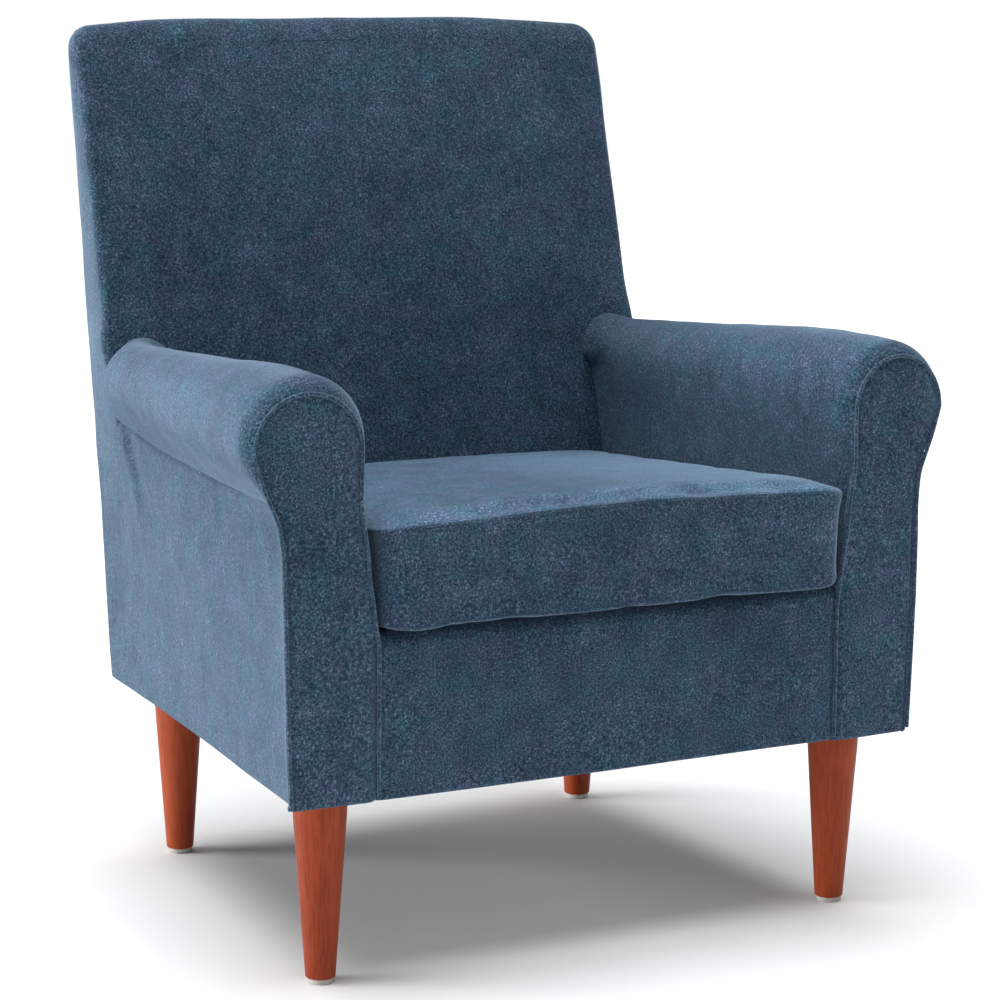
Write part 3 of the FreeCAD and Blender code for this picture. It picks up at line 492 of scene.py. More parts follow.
def settled(shape, sign):
    """The right arm's head is stuffed a little narrower than the left one's."""
    moved = []
    for x, y, z in shape.points:
        pull = HEAD_SQUEEZE * smooth(*SQUEEZE_Z, z) * (x - HEAD_INNER) / (2 * HEAD_RADIUS)
        if sign > 0 and x > HEAD_INNER:
            x -= pull * smooth(*SQUEEZE_Y, y)
        moved.append((x, y, z))
    shape.points = moved
    return shape if sign > 0 else shape.mirrored()


def arm_front(side, sign):
    path = panel_path()
    rows = []
    for z in panel_levels():
        inner, outer = panel_edges(z)
        width = outer - inner
        steps = edge_steps(PANEL_WIDTH, 12) / PANEL_WIDTH * width
        row = []
        for s in steps:
            x = inner + s
            d = distance_to(path, x, z)
            dip = GROOVE * math.exp(-((d / GROOVE) ** 2))
            swell = PANEL_SWELL * (1 - math.exp(-d / (16 * MM)))
            row.append((x, FRONT + PANEL_SETBACK + dip - swell + hem_curl(z), z))
        rows.append(row)
    panel = Shape().grid(rows)
    piece = build(f"{side}_arm_front", settled(panel, sign), thick=4 * MM)
    line = [(x, FRONT + RIDGE_SETBACK, z) for x, z in path if z > HEM + RIDGE_START]
    ridge = Shape().tube(line, RIDGE)
    seam = build(f"{side}_arm_front_seam", settled(ridge, sign))
    crumple(piece, 0.9 * MM, 60 * MM, seed=2 + sign)
    # The seam ridge takes the lighter copy of the velvet: painted highlight along the seam.
    dress(seam, "upholstery_fabric", material=VELVET_WELT_HIGHLIGHT)
    return dress(piece, "upholstery_fabric")


# ---------------------------------------------------------------- rolled arms
ROLL_FRONT = FRONT + 1.2 * MM
ROLL_Y = mm(-300, -296, -290, -282, -262, -190, -62, 60, 205)
ROLL_RADIUS = mm(51.2, 54.8, 57.4, 58.8, 58.8, 57.0, 50.0, 43.8, 37.0)
ROLL_X = mm(313, 312.6, 312, 311.4, 310.2, 305.5, 298, 290.5, 282)
ROLL_Z = mm(502, 504.6, 506.8, 508.6, 509.4, 510.2, 507.6, 504.4, 501.5)
SEAM_Y = mm(-300, -267, -195, -122, -54, 14, 84, 157, 200)
SEAM_X = mm(349.5, 343, 330, 322, 317, 313, 309, 305, 303.5)
SEAM_Z = mm(459, 456, 450, 448, 449, 449, 451, 458, 462)
INNER_Y = mm(-300, -262, 205)
INNER_WAIST = mm(262, 257, 248)
INNER_FOOT = mm(247, 251, 247)
ROLL_END = 206 * MM
REAR_FLARE_START = 150 * MM
REAR_FLARE = 9 * MM
REAR_TUCK = 13 * MM
TUCK_START = 180 * MM
LEAN_LEVEL = 530 * MM
ARM_LINING = 14 * MM
UNDER_DECK = 14 * MM


def foot_level(y):
    """Height at which an arm's inner face ends, a little under the top of the deck."""
    return high("deck_cloth", "z") - DECK_SLOPE * (y - low("deck_cloth", "y")) - UNDER_DECK


def roll_section(y, tuck=0.0, flare=0.0):
    """Closed section of an arm: under the roll, round it, down the inner face and back inside."""
    r = through(y, ROLL_Y, ROLL_RADIUS)
    cx, cz = through(y, ROLL_Y, ROLL_X), through(y, ROLL_Y, ROLL_Z)
    sx, sz = through(y, SEAM_Y, SEAM_X), through(y, SEAM_Y, SEAM_Z)
    gap = math.hypot(sx - cx, sz - cz)
    start = math.atan2(sz - cz, sx - cx) + math.acos(min(r / gap, 0.995))
    touch = (cx + r * math.cos(start), cz + r * math.sin(start))
    lip = mm(-7, -4), mm(-1.8, -4), mm(-1.5, 0), mm(-0.5, 1)
    points = [(sx + dx, sz + dz) for dx, dz in lip]
    for t in (0.12, 0.3, 0.5, 0.7, 0.85):
        belly = 0.6 * MM * math.sin(math.pi * t)
        points.append((sx + (touch[0] - sx) * t + belly, sz + (touch[1] - sz) * t))
    for a in np.linspace(start, math.pi, 44):
        reach = r - tuck * max(0.0, math.cos(a)) + flare * smooth(0.9, 2.3, a)
        points.append((cx + reach * math.cos(a), cz + reach * math.sin(a)))
    inner = cx - r
    waist = through(y, INNER_Y, INNER_WAIST)
    foot = through(y, INNER_Y, INNER_FOOT)
    end = foot_level(y)
    for z in np.linspace(cz - 8 * MM, end, 21):
        t = smooth(cz, 440 * MM, z)
        x = inner + (waist - inner) * t
        x += (foot - waist) * smooth(435 * MM, 345 * MM, z)
        points.append((x, z))
    deep = inner + ARM_LINING
    points += [(deep, end), (deep, 400 * MM), (deep + 2 * MM, 470 * MM)]
    points.append((cx - 8 * MM, cz - 12 * MM))
    points.append((sx - 14 * MM, sz + 8 * MM))
    return points


def roll_stations():
    """(depth, radius lost at the outer side) for each section of an arm, from its front to the back."""
    steps = [0, 1.5, 3.5, 6, 9, 13, 18, 25]
    made = [(ROLL_FRONT + s * MM, 0.0) for s in steps]
    made += [(y, 0.0) for y in np.linspace(FRONT + 36 * MM, REAR_FLARE_START, 38)]
    for y in mm(154, 158, 162, 166, 170, 174, 178, 182, 186, 190, 194, 198, 202, 206):
        t = smooth(TUCK_START, ROLL_END, y)
        made.append((y, (1 - math.sqrt(1 - t * t)) * REAR_TUCK))
    return made


def arm_cover(side, sign):
    reach = ROLL_Y[-1] - FRONT
    rings = []
    for y, lost in roll_stations():
        share = smooth(0.35, 1.0, (y - FRONT) / reach)
        ring = []
        flare = REAR_FLARE * smooth(REAR_FLARE_START, ROLL_END, y) ** 2
        for x, z in roll_section(y, lost, flare):
            lean = BACK_SLOPE * (z - LEAN_LEVEL)
            ring.append((x, y + share * lean, z))
        rings.append(ring)
    piece = build(f"{side}_rolled_arm", settled(Shape().loft(rings), sign), sharp=70)
    crumple(piece, 2.2 * MM, 110 * MM, seed=5 + sign, stretch=(1, 1.6, 1))
    crumple(piece, 0.8 * MM, 38 * MM, seed=9 + sign)
    return dress(piece, "upholstery_fabric")


# ---------------------------------------------------------------- outer cover
# One cover for both sides of the chair and the band round the edge of the back.
EDGE = 9 * MM
TOP_EDGE = 12 * MM
TOP_DROP = 24 * MM
CORNER = 24 * MM
REAR_ROUND = 4.5 * MM
BAND_Z = mm(430, 455, 500, 534, 545, 556, 580, 840)
BAND_FRONT = mm(302, 303, 307, 311, 310.5, 309, 306.5, 306)
REAR_Z = mm(180, 314, 450, 575, 627, 729, 820)
REAR_X = mm(290, 293.5, 296, 300, 300.5, 303, 306)
BASE_Y = mm(-300, -292, -280, -262, -100, 60, 190, 263)
BASE_X = mm(331, 328.6, 325.8, 323.8, 312.0, 300.8, 292.4, 289.6)
LEAN_Z = mm(180, 333, 404, 431, 443, 457)
LEAN = mm(0, 4, 6, 9, 12, 18)
PLAIN_LEAN = mm(0, 4, 6, 7, 7.4, 7.8)
FOLD_DEPTH = 6.0 * MM
UNDER_ROLL = 1.6 * MM
CREASE_Z = mm(340, 389, 427, 455, 483)
CREASE_Y = mm(115, 141, 162, 182, 200)
FOLD_TOP = 455 * MM
STRIP = (0, 0.06, 0.14, 0.26, 0.4, 0.55, 0.7, 0.82, 0.91, 0.96, 1.0)
FLARE_Y = mm(-300, -267, -195, -122, -54, 84, 157)
FLARE = (1, 1, 0.5, 0.3, 0.2, 0.3, 0.35)
SIDE_LEVELS = mm(0, 1, 2.4, 4.5, 8, 16)
LEVEL_STEP = 14 * MM
BAND_BELLY = 1.5 * MM
ROLL_BACK = 5.5 * MM
ROLL_BACK_REACH = 30 * MM
# Amount, size and seed of folds that the outer cover shares with the inside back, where they meet.
SHARED_FOLDS = ((1.8 * MM, 140 * MM, 3), (0.5 * MM, 45 * MM, 4))


def side_reach(y, z):
    """Half-width of the chair's side at a depth and a height, below the arm."""
    plain = through(z, LEAN_Z, PLAIN_LEAN)
    flare = through(z, LEAN_Z, LEAN) - plain
    x = through(y, BASE_Y, BASE_X) + plain + max(0.0, flare) * through(y, FLARE_Y, FLARE)
    behind = through(z, CREASE_Z, CREASE_Y) - y
    depth = FOLD_DEPTH * smooth(350 * MM, 470 * MM, z)
    x -= depth * smooth(-7 * MM, 12 * MM, behind) * math.exp(-max(0.0, behind) / (60 * MM))
    x += 0.35 * depth * math.exp(-(((behind + 14 * MM) / (12 * MM)) ** 2))
    return x


def band_reach(share, z):
    """Half-width of the band at the back's side, from its front edge to its rear edge."""
    front, rear = through(z, BAND_Z, BAND_FRONT), through(z, REAR_Z, REAR_X)
    belly = BAND_BELLY * math.sin(math.pi * share)
    return front + (rear - front) * share + belly


def side_grid():
    """Rows of the lower side, from the bottom up to the seam under the roll."""
    near = [0, 0.8, 1.8, 3.2, 5, 8, 13, 22, 35]
    columns = np.concatenate([[FRONT + s * MM for s in near],
                              np.arange(FRONT + 50 * MM, 95 * MM, 15 * MM),
                              np.arange(100 * MM, 190 * MM, 4 * MM)])
    crease = back_front(FOLD_TOP) + EDGE
    levels = np.concatenate([[HEM + s for s in SIDE_LEVELS],
                             np.arange(BOTTOM + 28 * MM, 400 * MM, LEVEL_STEP)])
    upper = np.concatenate([np.linspace(0, 0.86, 10), [0.92, 0.955, 0.98, 0.992, 1.0]])
    rows = []

    def reach(y, z, under):
        share = smooth(150 * MM, crease, y) * smooth(395 * MM, FOLD_TOP, z)
        along = (y - crease) / (back_rear(z) - REAR_ROUND - crease)
        x = side_reach(y, z) * (1 - share) + band_reach(max(0.0, along), z) * share
        if y < crease:
            x -= UNDER_ROLL * math.exp(-((under / (2.2 * MM)) ** 2)) * smooth(FRONT, FRONT + 30 * MM, y)
        return x - hem_curl(z)

    def height(k, top):
        if k < len(levels):
            return levels[k]
        start = levels[-1] + LEVEL_STEP
        return start + (top - start) * upper[k - len(levels)]

    for k in range(len(levels) + len(upper)):
        row = []
        for y in columns:
            top = through(y, SEAM_Y, SEAM_Z)
            z = height(k, top)
            dip = 0.9 * MM * math.exp(-(((y - FRONT) / (2.0 * MM)) ** 2))
            row.append((reach(y, z, top - z) - dip, y + 0.8 * MM, z))
        z = height(k, FOLD_TOP)
        end = back_rear(z) - REAR_ROUND
        for f in STRIP:
            y = crease + f * (end - crease)
            row.append((reach(y, z, 1.0), y, z))
        row += rear_round(row[-1][0], z, (1, 0))
        rows.append(row)
    return rows


def rear_round(x, z, out):
    """The band's rounded rear edge, after its last flat point at (x, z)."""
    made = []
    for a in (30, 60, 90):
        inset = REAR_ROUND * (1 - math.cos(math.radians(a)))
        back = REAR_ROUND * math.sin(math.radians(a))
        here = z - inset * out[1]
        made.append((x - inset * out[0], back_rear(here) - REAR_ROUND + back, here))
    return made


def face_plane(x, z):
    """Depth of the back's front face before its crown; it rolls back towards the top."""
    return back_front(z) + ROLL_BACK * math.exp(-max(0.0, crest(x) - z) / ROLL_BACK_REACH)


def crest(x):
    """Height of the back's top at a distance from the middle."""
    return through(abs(x), mm(0, 164, 221, 283), [TOP - drop * MM for drop in (0.0, 2.2, 4.2, 8.2)])


def outline():
    """Stations along half of the back's edge.

    Each is x, z, the outward direction, and the edge's rounding in depth and in the plane of the back.
    """
    turn_z = crest(1.0) - CORNER
    turn_x = through(turn_z, BAND_Z, BAND_FRONT) - CORNER
    made = []
    for z in np.linspace(FOLD_TOP, turn_z, 34):
        made.append((through(z, BAND_Z, BAND_FRONT), z, (1.0, 0.0), EDGE, EDGE))
    for a in np.linspace(0, math.pi / 2, 11)[1:]:
        out = (math.cos(a), math.sin(a))
        t = a / (math.pi / 2)
        edge, drop = EDGE + (TOP_EDGE - EDGE) * t, EDGE + (TOP_DROP - EDGE) * t ** 2
        made.append((turn_x + CORNER * out[0], turn_z + CORNER * out[1], out, edge, drop))
    for x in np.linspace(turn_x, 0, 20)[1:]:
        made.append((x, crest(x), (0.0, 1.0), TOP_EDGE, TOP_DROP))
    return made


def band_grid():
    """Rows of the band, from the crease behind the arm up and over to the middle of the top."""
    rows = []
    for x, z, out, edge, drop in outline():
        row = []
        for a in (90, 78, 64, 48, 32, 16):
            inset = drop * (1 - math.cos(math.radians(a)))
            px, pz = x - inset * out[0], z - inset * out[1]
            row.append((px, face_plane(px, pz) + edge * (1 - math.sin(math.radians(a))), pz))
        start, end = face_plane(x, z) + edge, back_rear(z) - REAR_ROUND
        for f in STRIP:
            reach = band_reach(f, z) if out[0] == 1 else x
            row.append((reach, start + f * (end - start), z))
        row += rear_round(row[-1][0], z, out)
        rows.append(row)
    return rows


def outer_cover():
    left = Shape().grid(side_grid()).grid(band_grid()).mirrored()
    both = settled(left.mirrored(), 1)
    both.add(left.points, left.faces)
    piece = build("outer_cover", both, weld=0.6 * MM, thick=3 * MM)
    for amount, size, seed in SHARED_FOLDS:
        crumple(piece, amount, size, seed)
    nodes = ["top_cover"]
    for side in SIDES:
        nodes += [f"{side}_outside_arm_panel", f"{side}_back_border", f"{side}_back_side_pad"]
    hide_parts(*nodes)
    return dress(piece, "upholstery_fabric")


# ---------------------------------------------------------------- inside back
def back_limit(x):
    """Top of the inside back's seam line at a distance from the middle."""
    bent = [station for station in outline() if station[2][0] < 1]
    made = [(px - drop * out[0], pz - drop * out[1]) for px, pz, out, edge, drop in bent]
    made = made[::-1] + [(BAND_FRONT[-1] - EDGE, crest(1.0) - CORNER)]
    return np.interp(abs(x), [p[0] for p in made], [p[1] for p in made])


# A shallow hollow behind the loose cushion leaves room for the zip's pull tab.
PULL_ROOM = 2.5 * MM
PULL_REACH = 30 * MM
ZIP_Z = (low("zip_pull", "z") + high("zip_pull", "z")) / 2
TUCK = 2 * MM
TUCK_DEPTH = 1.2 * MM
BACK_BOTTOM = 286 * MM
BACK_CROWN = 11 * MM
TOP_LEVELS = (0.89, 0.915, 0.935, 0.952, 0.966, 0.977, 0.985, 0.991, 0.996, 1.0, 1.004)


def inside_back():
    wide = through(crest(1.0) - CORNER, BAND_Z, BAND_FRONT) - EDGE
    across = edge_steps(2 * wide, 30) - wide
    across = np.concatenate([[-wide - TUCK], across, [wide + TUCK]])
    levels = np.concatenate([np.linspace(0, 0.86, 39), TOP_LEVELS])
    rows = []
    for v in levels:
        row = []
        for u in across / wide:
            limit = back_limit(u * wide)
            z = BACK_BOTTOM + (limit - BACK_BOTTOM) * v
            half = through(z, BAND_Z, BAND_FRONT) - EDGE
            x = u * half
            side, top = max(0.0, half - abs(x)), max(0.0, limit - z)
            under = TUCK_DEPTH if abs(u) > 1.001 or v > 1 else 0.0
            swell = 0.9 * MM * smooth(0, 60 * MM, top) * (1 - math.exp(-side / (6 * MM)))
            crown = BACK_CROWN * max(0.0, 1 - abs(u) ** 2.3)
            crown *= 1 - math.exp(-((top / (64 * MM)) ** 1.2))
            room = PULL_ROOM * math.exp(-(((z - ZIP_Z) / PULL_REACH) ** 2))
            row.append((x, face_plane(x, z) - swell - crown + room + under, z))
        rows.append(row)
    piece = build("inside_back", Shape().grid(rows), thick=8 * MM)
    for amount, size, seed in SHARED_FOLDS:
        crumple(piece, amount, size, seed)
    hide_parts("upper_back_cover", "lumbar_cover", "upper_back_foam", "lumbar_foam")
    return dress(piece, "upholstery_fabric")


# ---------------------------------------------------------------- outside back, front border, deck
REAR_HALF = 0.29
REAR_DROP = 6 * MM
REAR_EDGES = (0, 3, 7, 12, 20, 32, 50, 75, 110)


def outside_back():
    rows = []
    top = crest(0)
    levels = edge_steps(top - BOTTOM - 5 * MM, 26)
    for s in levels:
        row = []
        for u in edge_steps(2.0, 18, edges=REAR_EDGES) - 1:
            limit = crest(u * REAR_HALF) - REAR_DROP
            z = BOTTOM + s / levels[-1] * (limit - BOTTOM)
            half = through(z, REAR_Z, REAR_X) - REAR_ROUND
            inset = max(0.0, z - (limit + REAR_DROP - CORNER)) / CORNER
            half -= CORNER * (1 - math.sqrt(max(0.0, 1 - inset ** 2))) * 0.9
            x = u * half
            near = min(half - abs(x), limit - z, z - BOTTOM + 10 * MM)
            swell = 2.4 * MM * (1 - math.exp(-near / (12 * MM)))
            swell -= 1.4 * MM * math.exp(-((near / (2 * MM)) ** 2))
            row.append((x, back_rear(z) - 0.2 * MM + swell, z))
        rows.append(row)
    rim = [r[-1] for r in rows] + rows[-1][::-1][1:] + [r[0] for r in rows[::-1]][1:]
    piece = build("outside_back", Shape().grid(rows, flip=True), thick=3 * MM)
    crumple(piece, 1.8 * MM, 140 * MM, seed=21)
    raised = [(x, y + 1.2 * MM, z) for x, y, z in rim]
    seam = build("outside_back_seam", Shape().tube(raised, RIDGE))
    dress(seam, "upholstery_fabric")
    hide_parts("outside_back_panel")
    return dress(piece, "upholstery_fabric")


NOSE = 14 * MM
BEHIND_PANEL = 5 * MM
BESIDE_DECK = 6 * MM


def front_border():
    border = low("front_border", "y")
    deck = high("deck_cloth", "z")
    turned_in = mm(4, 0), mm(1.6, 1), mm(0.5, 3)
    profile = [(border + dy, HEM + dz) for dy, dz in turned_in]
    profile += [(border, z) for z in np.linspace(HEM + 7 * MM, deck - NOSE, 16)]
    for a in np.linspace(0, math.pi / 2, 8)[1:]:
        profile.append((border + NOSE * (1 - math.cos(a)), deck - NOSE + NOSE * math.sin(a)))
    profile.append((low("deck_cloth", "y") + 2 * MM, deck))
    half = BORDER_HALF + BEHIND_PANEL
    across = edge_steps(2 * half, 26) - half
    rows = []
    for y, z in profile:
        row = []
        for x in across:
            near = max(0.0, BORDER_HALF - abs(x))
            dip = 2.2 * MM * math.exp(-((near / (3 * MM)) ** 2))
            dip -= 1.2 * MM * (1 - math.exp(-near / (20 * MM)))
            row.append((x, y + dip, z))
        rows.append(row)
    piece = build("front_border_cover", Shape().grid(rows), thick=4 * MM)
    crumple(piece, 1.6 * MM, 90 * MM, seed=31, stretch=(1.4, 1, 1))
    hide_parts("front_border", "front_rail_pad")
    return dress(piece, "upholstery_fabric")


def seat_deck():
    front, rear = low("deck_cloth", "y"), high("deck_cloth", "y")
    half = high("deck_cloth", "x") + BESIDE_DECK
    top, rows = high("deck_cloth", "z"), []
    for s in edge_steps(rear - front, 18):
        row = []
        for t in edge_steps(2 * half, 18) - half:
            near = min(half - abs(t), s, rear - front - s)
            soft = 5 * MM * math.exp(-near / (9 * MM))
            z = top - DECK_SLOPE * s - soft - 0.5 * MM
            row.append((t, front + s, z))
        rows.append(row)
    piece = build("seat_deck", Shape().grid(rows), thick=10 * MM)
    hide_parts("deck_cloth", "deck_foam")
    return dress(piece, "deck_cloth")


# ---------------------------------------------------------------- loose seat cushion
def cushion_seams(half, front, rear, corner):
    """Closed path in plan of the cushion's top or bottom seam."""
    made = []
    for sx, sy, start in ((1, -1, -90), (1, 1, 0), (-1, 1, 90), (-1, -1, 180)):
        cx, cy = sx * (half - corner), (front + corner if sy < 0 else rear - corner)
        for a in np.linspace(0, 90, 8):
            turn = math.radians(start + a)
            made.append((cx + corner * math.cos(turn), cy + corner * math.sin(turn)))
    return np.array(made)


def resample(path, count):
    closed = np.vstack([path, path[:1]])
    lengths = np.concatenate([[0], np.cumsum(np.linalg.norm(np.diff(closed, axis=0), axis=1))])
    at = np.linspace(0, lengths[-1], count, endpoint=False)
    return np.stack([np.interp(at, lengths, closed[:, k]) for k in range(closed.shape[1])], 1)


CUSHION_HALF = high("cushion_cover", "x")
CUSHION_FRONT = low("cushion_cover", "y")
THICKNESS = 97 * MM
CAP = np.array([7, 6, 8]) * MM
SEAM_PULL = 5 * MM
SEAT_REACH = 252 * MM
CUSHION_FOOT = 337 * MM
CUSHION_START = 337.5 * MM
SHRINK = 1.0 * MM
CUSHION_CROWN = 7 * MM
SEAM_CROWN = 13 * MM
CORNER_LIFT = 4 * MM
CORNER_REACH = 40 * MM
SEAM_RIDGE = 1.5 * MM
# Levels of the cushion's sides as shares of its thickness, and how far in each one starts, in mm.
BOXING = ((0.01, 6), (0.05, 1), (0.2, 0), (0.4, 0), (0.6, 0), (0.8, 0), (0.95, 1), (0.99, 6))
VOXEL = 6 * MM
PRESSURE = 3.2
SIM_STEPS = 20
CUSHION_MID = 380 * MM
# Faces above this share of the thickness, and turned up this far, take a lighter copy of the velvet:
# painted light on the seat's top, where the top lamp falls.
PAINTED_LIGHT_SHARE = 0.75
PAINTED_LIGHT_TILT = 0.55


def cushion_base(y):
    """Height of the cushion's underside, which follows the deck."""
    return CUSHION_START - DECK_SLOPE * (y - CUSHION_FRONT)


def cushion_rear(z):
    """Depth of the flat rear face, just in front of the zip's tape."""
    return low("cushion_zip", "y") - 0.4 * MM + BACK_SLOPE * (z - low("cushion_zip", "z"))


def cushion_body():
    """The cushion as cut, before it is filled."""
    rings = []
    for lift, inset in BOXING:
        rear = cushion_rear(CUSHION_FOOT + THICKNESS * lift - 20 * MM) - inset * MM
        plan = cushion_seams(CUSHION_HALF - SHRINK + (4 * lift - inset) * MM,
                             CUSHION_FRONT + SHRINK + inset * MM, rear, 18 * MM)
        plan = resample(plan, 240)
        rings.append([(x, y, cushion_base(y) + THICKNESS * lift) for x, y in plan])
    body = build("seat_cushion", Shape().loft(rings))
    remesh = body.modifiers.new("remesh", "REMESH")
    remesh.mode, remesh.voxel_size = "VOXEL", VOXEL
    apply_all(body)
    return body


def inflate(body):
    """Fills the cushion out with pressure."""
    cloth = body.modifiers.new("cloth", "CLOTH")
    cloth.settings.quality = 5
    cloth.settings.mass = 0.3
    cloth.settings.tension_stiffness = 18
    cloth.settings.compression_stiffness = 18
    cloth.settings.bending_stiffness = 3
    cloth.settings.use_pressure = True
    cloth.settings.uniform_pressure_force = PRESSURE
    cloth.settings.effector_weights.gravity = 0
    cloth.collision_settings.use_self_collision = False
    for step in range(1, SIM_STEPS + 1):
        scene.frame_set(step)
    apply_all(body)
    scene.frame_set(1)


def settle(body, rest):
    """Caps how far each point has moved from its rest place, and crowns the top."""
    moved = np.array([v.co for v in body.data.vertices])
    shift = CAP * np.tanh((moved - rest) / CAP)
    for vertex, (x, y, z) in zip(body.data.vertices, rest + shift):
        level = (z - cushion_base(y)) / THICKNESS
        crown = CUSHION_CROWN * max(0, 1 - (x / CUSHION_HALF) ** 2) * smooth(0.35, 0.9, level)
        corner = near_corner(x) * smooth(CUSHION_FRONT + 80 * MM, CUSHION_FRONT, y)
        lift = CORNER_LIFT * corner * smooth(0.4, 0.0, level)
        vertex.co = (x, y, max(z + crown, cushion_base(y)) + lift)


def seat_cushion():
    body = cushion_body()
    rest = np.array([v.co for v in body.data.vertices])
    inflate(body)
    settle(body, rest)
    sub = body.modifiers.new("smooth", "SUBSURF")
    sub.levels = sub.render_levels = 1
    apply_all(body)
    lines = seam_line(1.0, 26 * MM), seam_line(0.0, 36 * MM)
    paths = [pull_to(body, line, 11 * MM) for line in lines]
    for vertex in body.data.vertices:
        vertex.co = seat_limit(*vertex.co)
    body.data.shade_smooth()
    seams = Shape()
    for path in paths:
        seams.tube([seat_limit(*point) for point in path], SEAM_RIDGE, closed=True)
    ridge = build("seat_cushion_seams", seams)
    # The cushion's seam ridges take the lighter copy of the velvet: painted highlight along the seams.
    dress(ridge, "upholstery_fabric", "seat_cushion", VELVET_WELT_HIGHLIGHT)
    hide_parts("cushion_cover", "cushion_core")
    dress(body, "upholstery_fabric", "seat_cushion", VELVET_ACROSS)
    # The top panel takes the lighter copy of the velvet: painted light on the seat's top.
    body.data.materials.append(VELVET_PAINTED_LIT_TOP)
    for face in body.data.polygons:
        x, y, z = face.center
        if z > cushion_base(y) + PAINTED_LIGHT_SHARE * THICKNESS and face.normal.z > PAINTED_LIGHT_TILT:
            face.material_index = 1
    return body


def near_corner(x):
    """0 along the cushion's middle, up to 1 at its left and right edges."""
    return smooth(CUSHION_HALF - CORNER_REACH, CUSHION_HALF, abs(x))


def seam_line(level, corner):
    """Points of the top (level 1) or bottom (level 0) seam of the cushion."""
    half = CUSHION_HALF + (1 + 6 * level) * MM
    plan = cushion_seams(half, CUSHION_FRONT, cushion_rear(CUSHION_MID), corner)
    path = []
    for x, y in resample(plan, 300):
        z = cushion_base(y) + (THICKNESS - 3 * MM) * level
        z += level * SEAM_CROWN * max(0, 1 - (x / CUSHION_HALF) ** 2)
        if y < 0:
            z += (1 - level) * CORNER_LIFT * near_corner(x)
        z += 0.5 * MM * noise.noise(Vector((x, y, level)) / (70 * MM))
        path.append((x, min(y, cushion_rear(z)), z))
    return np.array(path)


def seat_limit(x, y, z):
    """Keeps a point of the cushion clear of the arms, the back and the deck."""
    x = max(-SEAT_REACH, min(SEAT_REACH, x))
    return x, min(y, cushion_rear(z)), max(z, cushion_base(y) - 1 * MM)


def pull_to(body, path, width):
    """Draws the cover out towards a seam, for a crisp edge, and returns where the seam then lies."""
    tree = BVHTree.FromObject(body, bpy.context.evaluated_depsgraph_get())
    spots = np.array([tuple(tree.find_nearest(Vector(p))[0]) for p in path])
    pulls = path - spots
    lengths = np.linalg.norm(pulls, axis=1)
    pulls *= np.minimum(1, SEAM_PULL / np.maximum(lengths, 1e-9))[:, None]
    for vertex in body.data.vertices:
        gaps = np.linalg.norm(spots - np.array(vertex.co), axis=1)
        nearest = gaps.min()
        if nearest > 3 * width:
            continue
        shares = np.exp(-((gaps - nearest) / (6 * MM)) ** 2)
        pull = (pulls * shares[:, None]).sum(0) / shares.sum()
        vertex.co += Vector(pull * math.exp(-((nearest / width) ** 2)))
    seam = spots + pulls
    for step in range(6):
        seam = (np.roll(seam, 1, 0) + 2 * seam + np.roll(seam, -1, 0)) / 4
    return seam


# ---------------------------------------------------------------- dust cover
DUST_HALF = mm(318, 284)
DUST_SAG = 3 * MM
ABOVE_HEM = 0.9 * MM


def dust_cover():
    front, rear = low("dust_cover", "y"), high("dust_cover", "y")
    rows = []
    long = rear - front
    for s in np.linspace(0, 1, 28):
        y = front + s * long
        half = np.interp(y, [front, rear], DUST_HALF)
        row = []
        for t in np.linspace(-1, 1, 32):
            sag = DUST_SAG * (1 - t * t) * math.sin(math.pi * s)
            row.append((t * half, y, BOTTOM + ABOVE_HEM - sag))
        rows.append(row)
    piece = build("dust_cover_cloth", Shape().grid(rows, flip=True), thick=0.5 * MM)
    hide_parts("dust_cover")
    return dress(piece, "dust_cloth")


# ---------------------------------------------------------------- build the chair
for side, sign in SIDES.items():
    front = arm_front(side, sign)
    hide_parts(f"{side}_arm_front_panel")
    cover = arm_cover(side, sign)
    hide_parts(f"{side}_arm_cover", f"{side}_arm_foam", f"{side}_inside_arm_pad")
outer_cover()
inside_back()
outside_back()
front_border()
seat_deck()
seat_cushion()
dust_cover()

# ---------------------------------------------------------------- stage
FLOOR = 9
SKY = (0.90, 0.95, 1.0, 1)
SKY_STRENGTH = 0.175
WHITE = (1, 1, 1, 1)

floor_mesh = bpy.data.meshes.new("floor")
corners = [(x * FLOOR, y * FLOOR, 0) for x, y in ((-1, -1), (1, -1), (1, 1), (-1, 1))]
floor_mesh.from_pydata(corners, [], [(0, 1, 2, 3)])
floor = bpy.data.objects.new("floor", floor_mesh)
scene.collection.objects.link(floor)
floor_look = Nodes("floor_look")
floor_grain = floor_look.noise(3, detail=2)
floor_shade = floor_look.ramp(floor_grain, (0.3, 0.86), (0.7, 0.88))
floor.data.materials.append(floor_look.set(Base_Color=floor_shade, Roughness=0.9,
                                           Specular_IOR_Level=0.1))

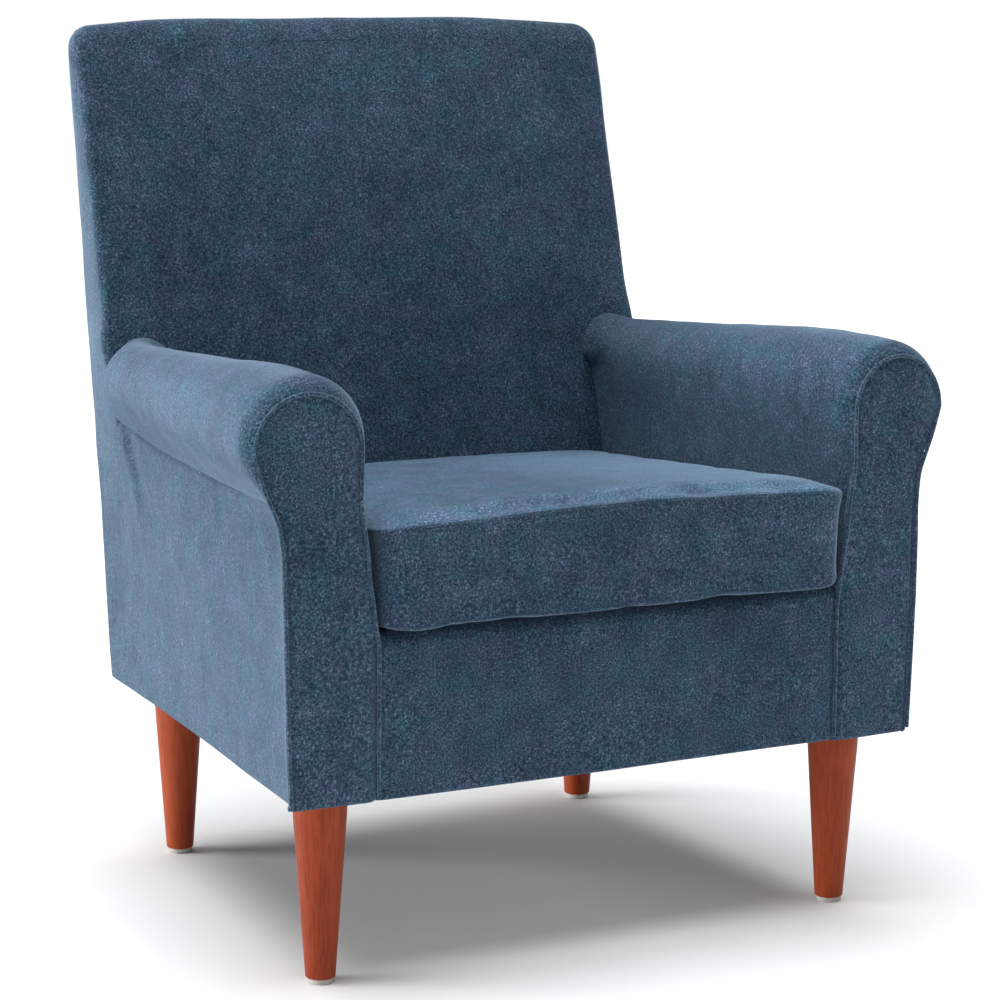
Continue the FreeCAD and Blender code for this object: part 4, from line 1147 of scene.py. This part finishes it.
world = bpy.data.worlds.new("studio")
world.use_nodes = True
sky = world.node_tree
dim = sky.nodes["Background"]
dim.inputs["Color"].default_value = SKY
dim.inputs["Strength"].default_value = SKY_STRENGTH
bright = sky.nodes.new("ShaderNodeBackground")
bright.inputs["Color"].default_value = WHITE
seen = sky.nodes.new("ShaderNodeLightPath")
choose = sky.nodes.new("ShaderNodeMixShader")
sky.links.new(seen.outputs["Is Camera Ray"], choose.inputs[0])
sky.links.new(dim.outputs[0], choose.inputs[1])
sky.links.new(bright.outputs[0], choose.inputs[2])
sky.links.new(choose.outputs[0], sky.nodes["World Output"].inputs["Surface"])
scene.world = world


def soft_sun(name, azimuth, elevation, strength, spread):
    """A broad even light; azimuth 0 stands in front of the chair and 90 at its right."""
    lamp = bpy.data.lights.new(name, "SUN")
    lamp.energy, lamp.angle = strength, math.radians(spread)
    obj = bpy.data.objects.new(name, lamp)
    scene.collection.objects.link(obj)
    a, e = math.radians(azimuth), math.radians(elevation)
    toward = Vector((math.sin(a) * math.cos(e), -math.cos(a) * math.cos(e), math.sin(e)))
    obj.rotation_euler = toward.to_track_quat("Z", "Y").to_euler()


soft_sun("key", azimuth=-112, elevation=10, strength=3.5, spread=30)
soft_sun("top", azimuth=-120, elevation=86, strength=3.7, spread=56)
soft_sun("fill", azimuth=30, elevation=24, strength=0.22, spread=60)

# ---------------------------------------------------------------- camera
CAMERA_PLACE = Vector((-1.3911, -2.6975, 0.9287))
CAMERA_RIGHT = Vector((0.88482, -0.46588, 0.00766))
CAMERA_UP = Vector((0.07496, 0.15856, 0.98450))

camera_data = bpy.data.cameras.new("camera")
camera_data.lens, camera_data.sensor_width = 109.9, 36
camera_data.clip_start, camera_data.clip_end = 0.1, 100
camera = bpy.data.objects.new("camera", camera_data)
scene.collection.objects.link(camera)
back = CAMERA_RIGHT.cross(CAMERA_UP).normalized()
up = back.cross(CAMERA_RIGHT).normalized()
turn = Matrix((CAMERA_RIGHT, up, back)).transposed().to_4x4()
camera.matrix_world = Matrix.Translation(CAMERA_PLACE) @ turn
scene.camera = camera
scene.view_settings.view_transform = "Standard"
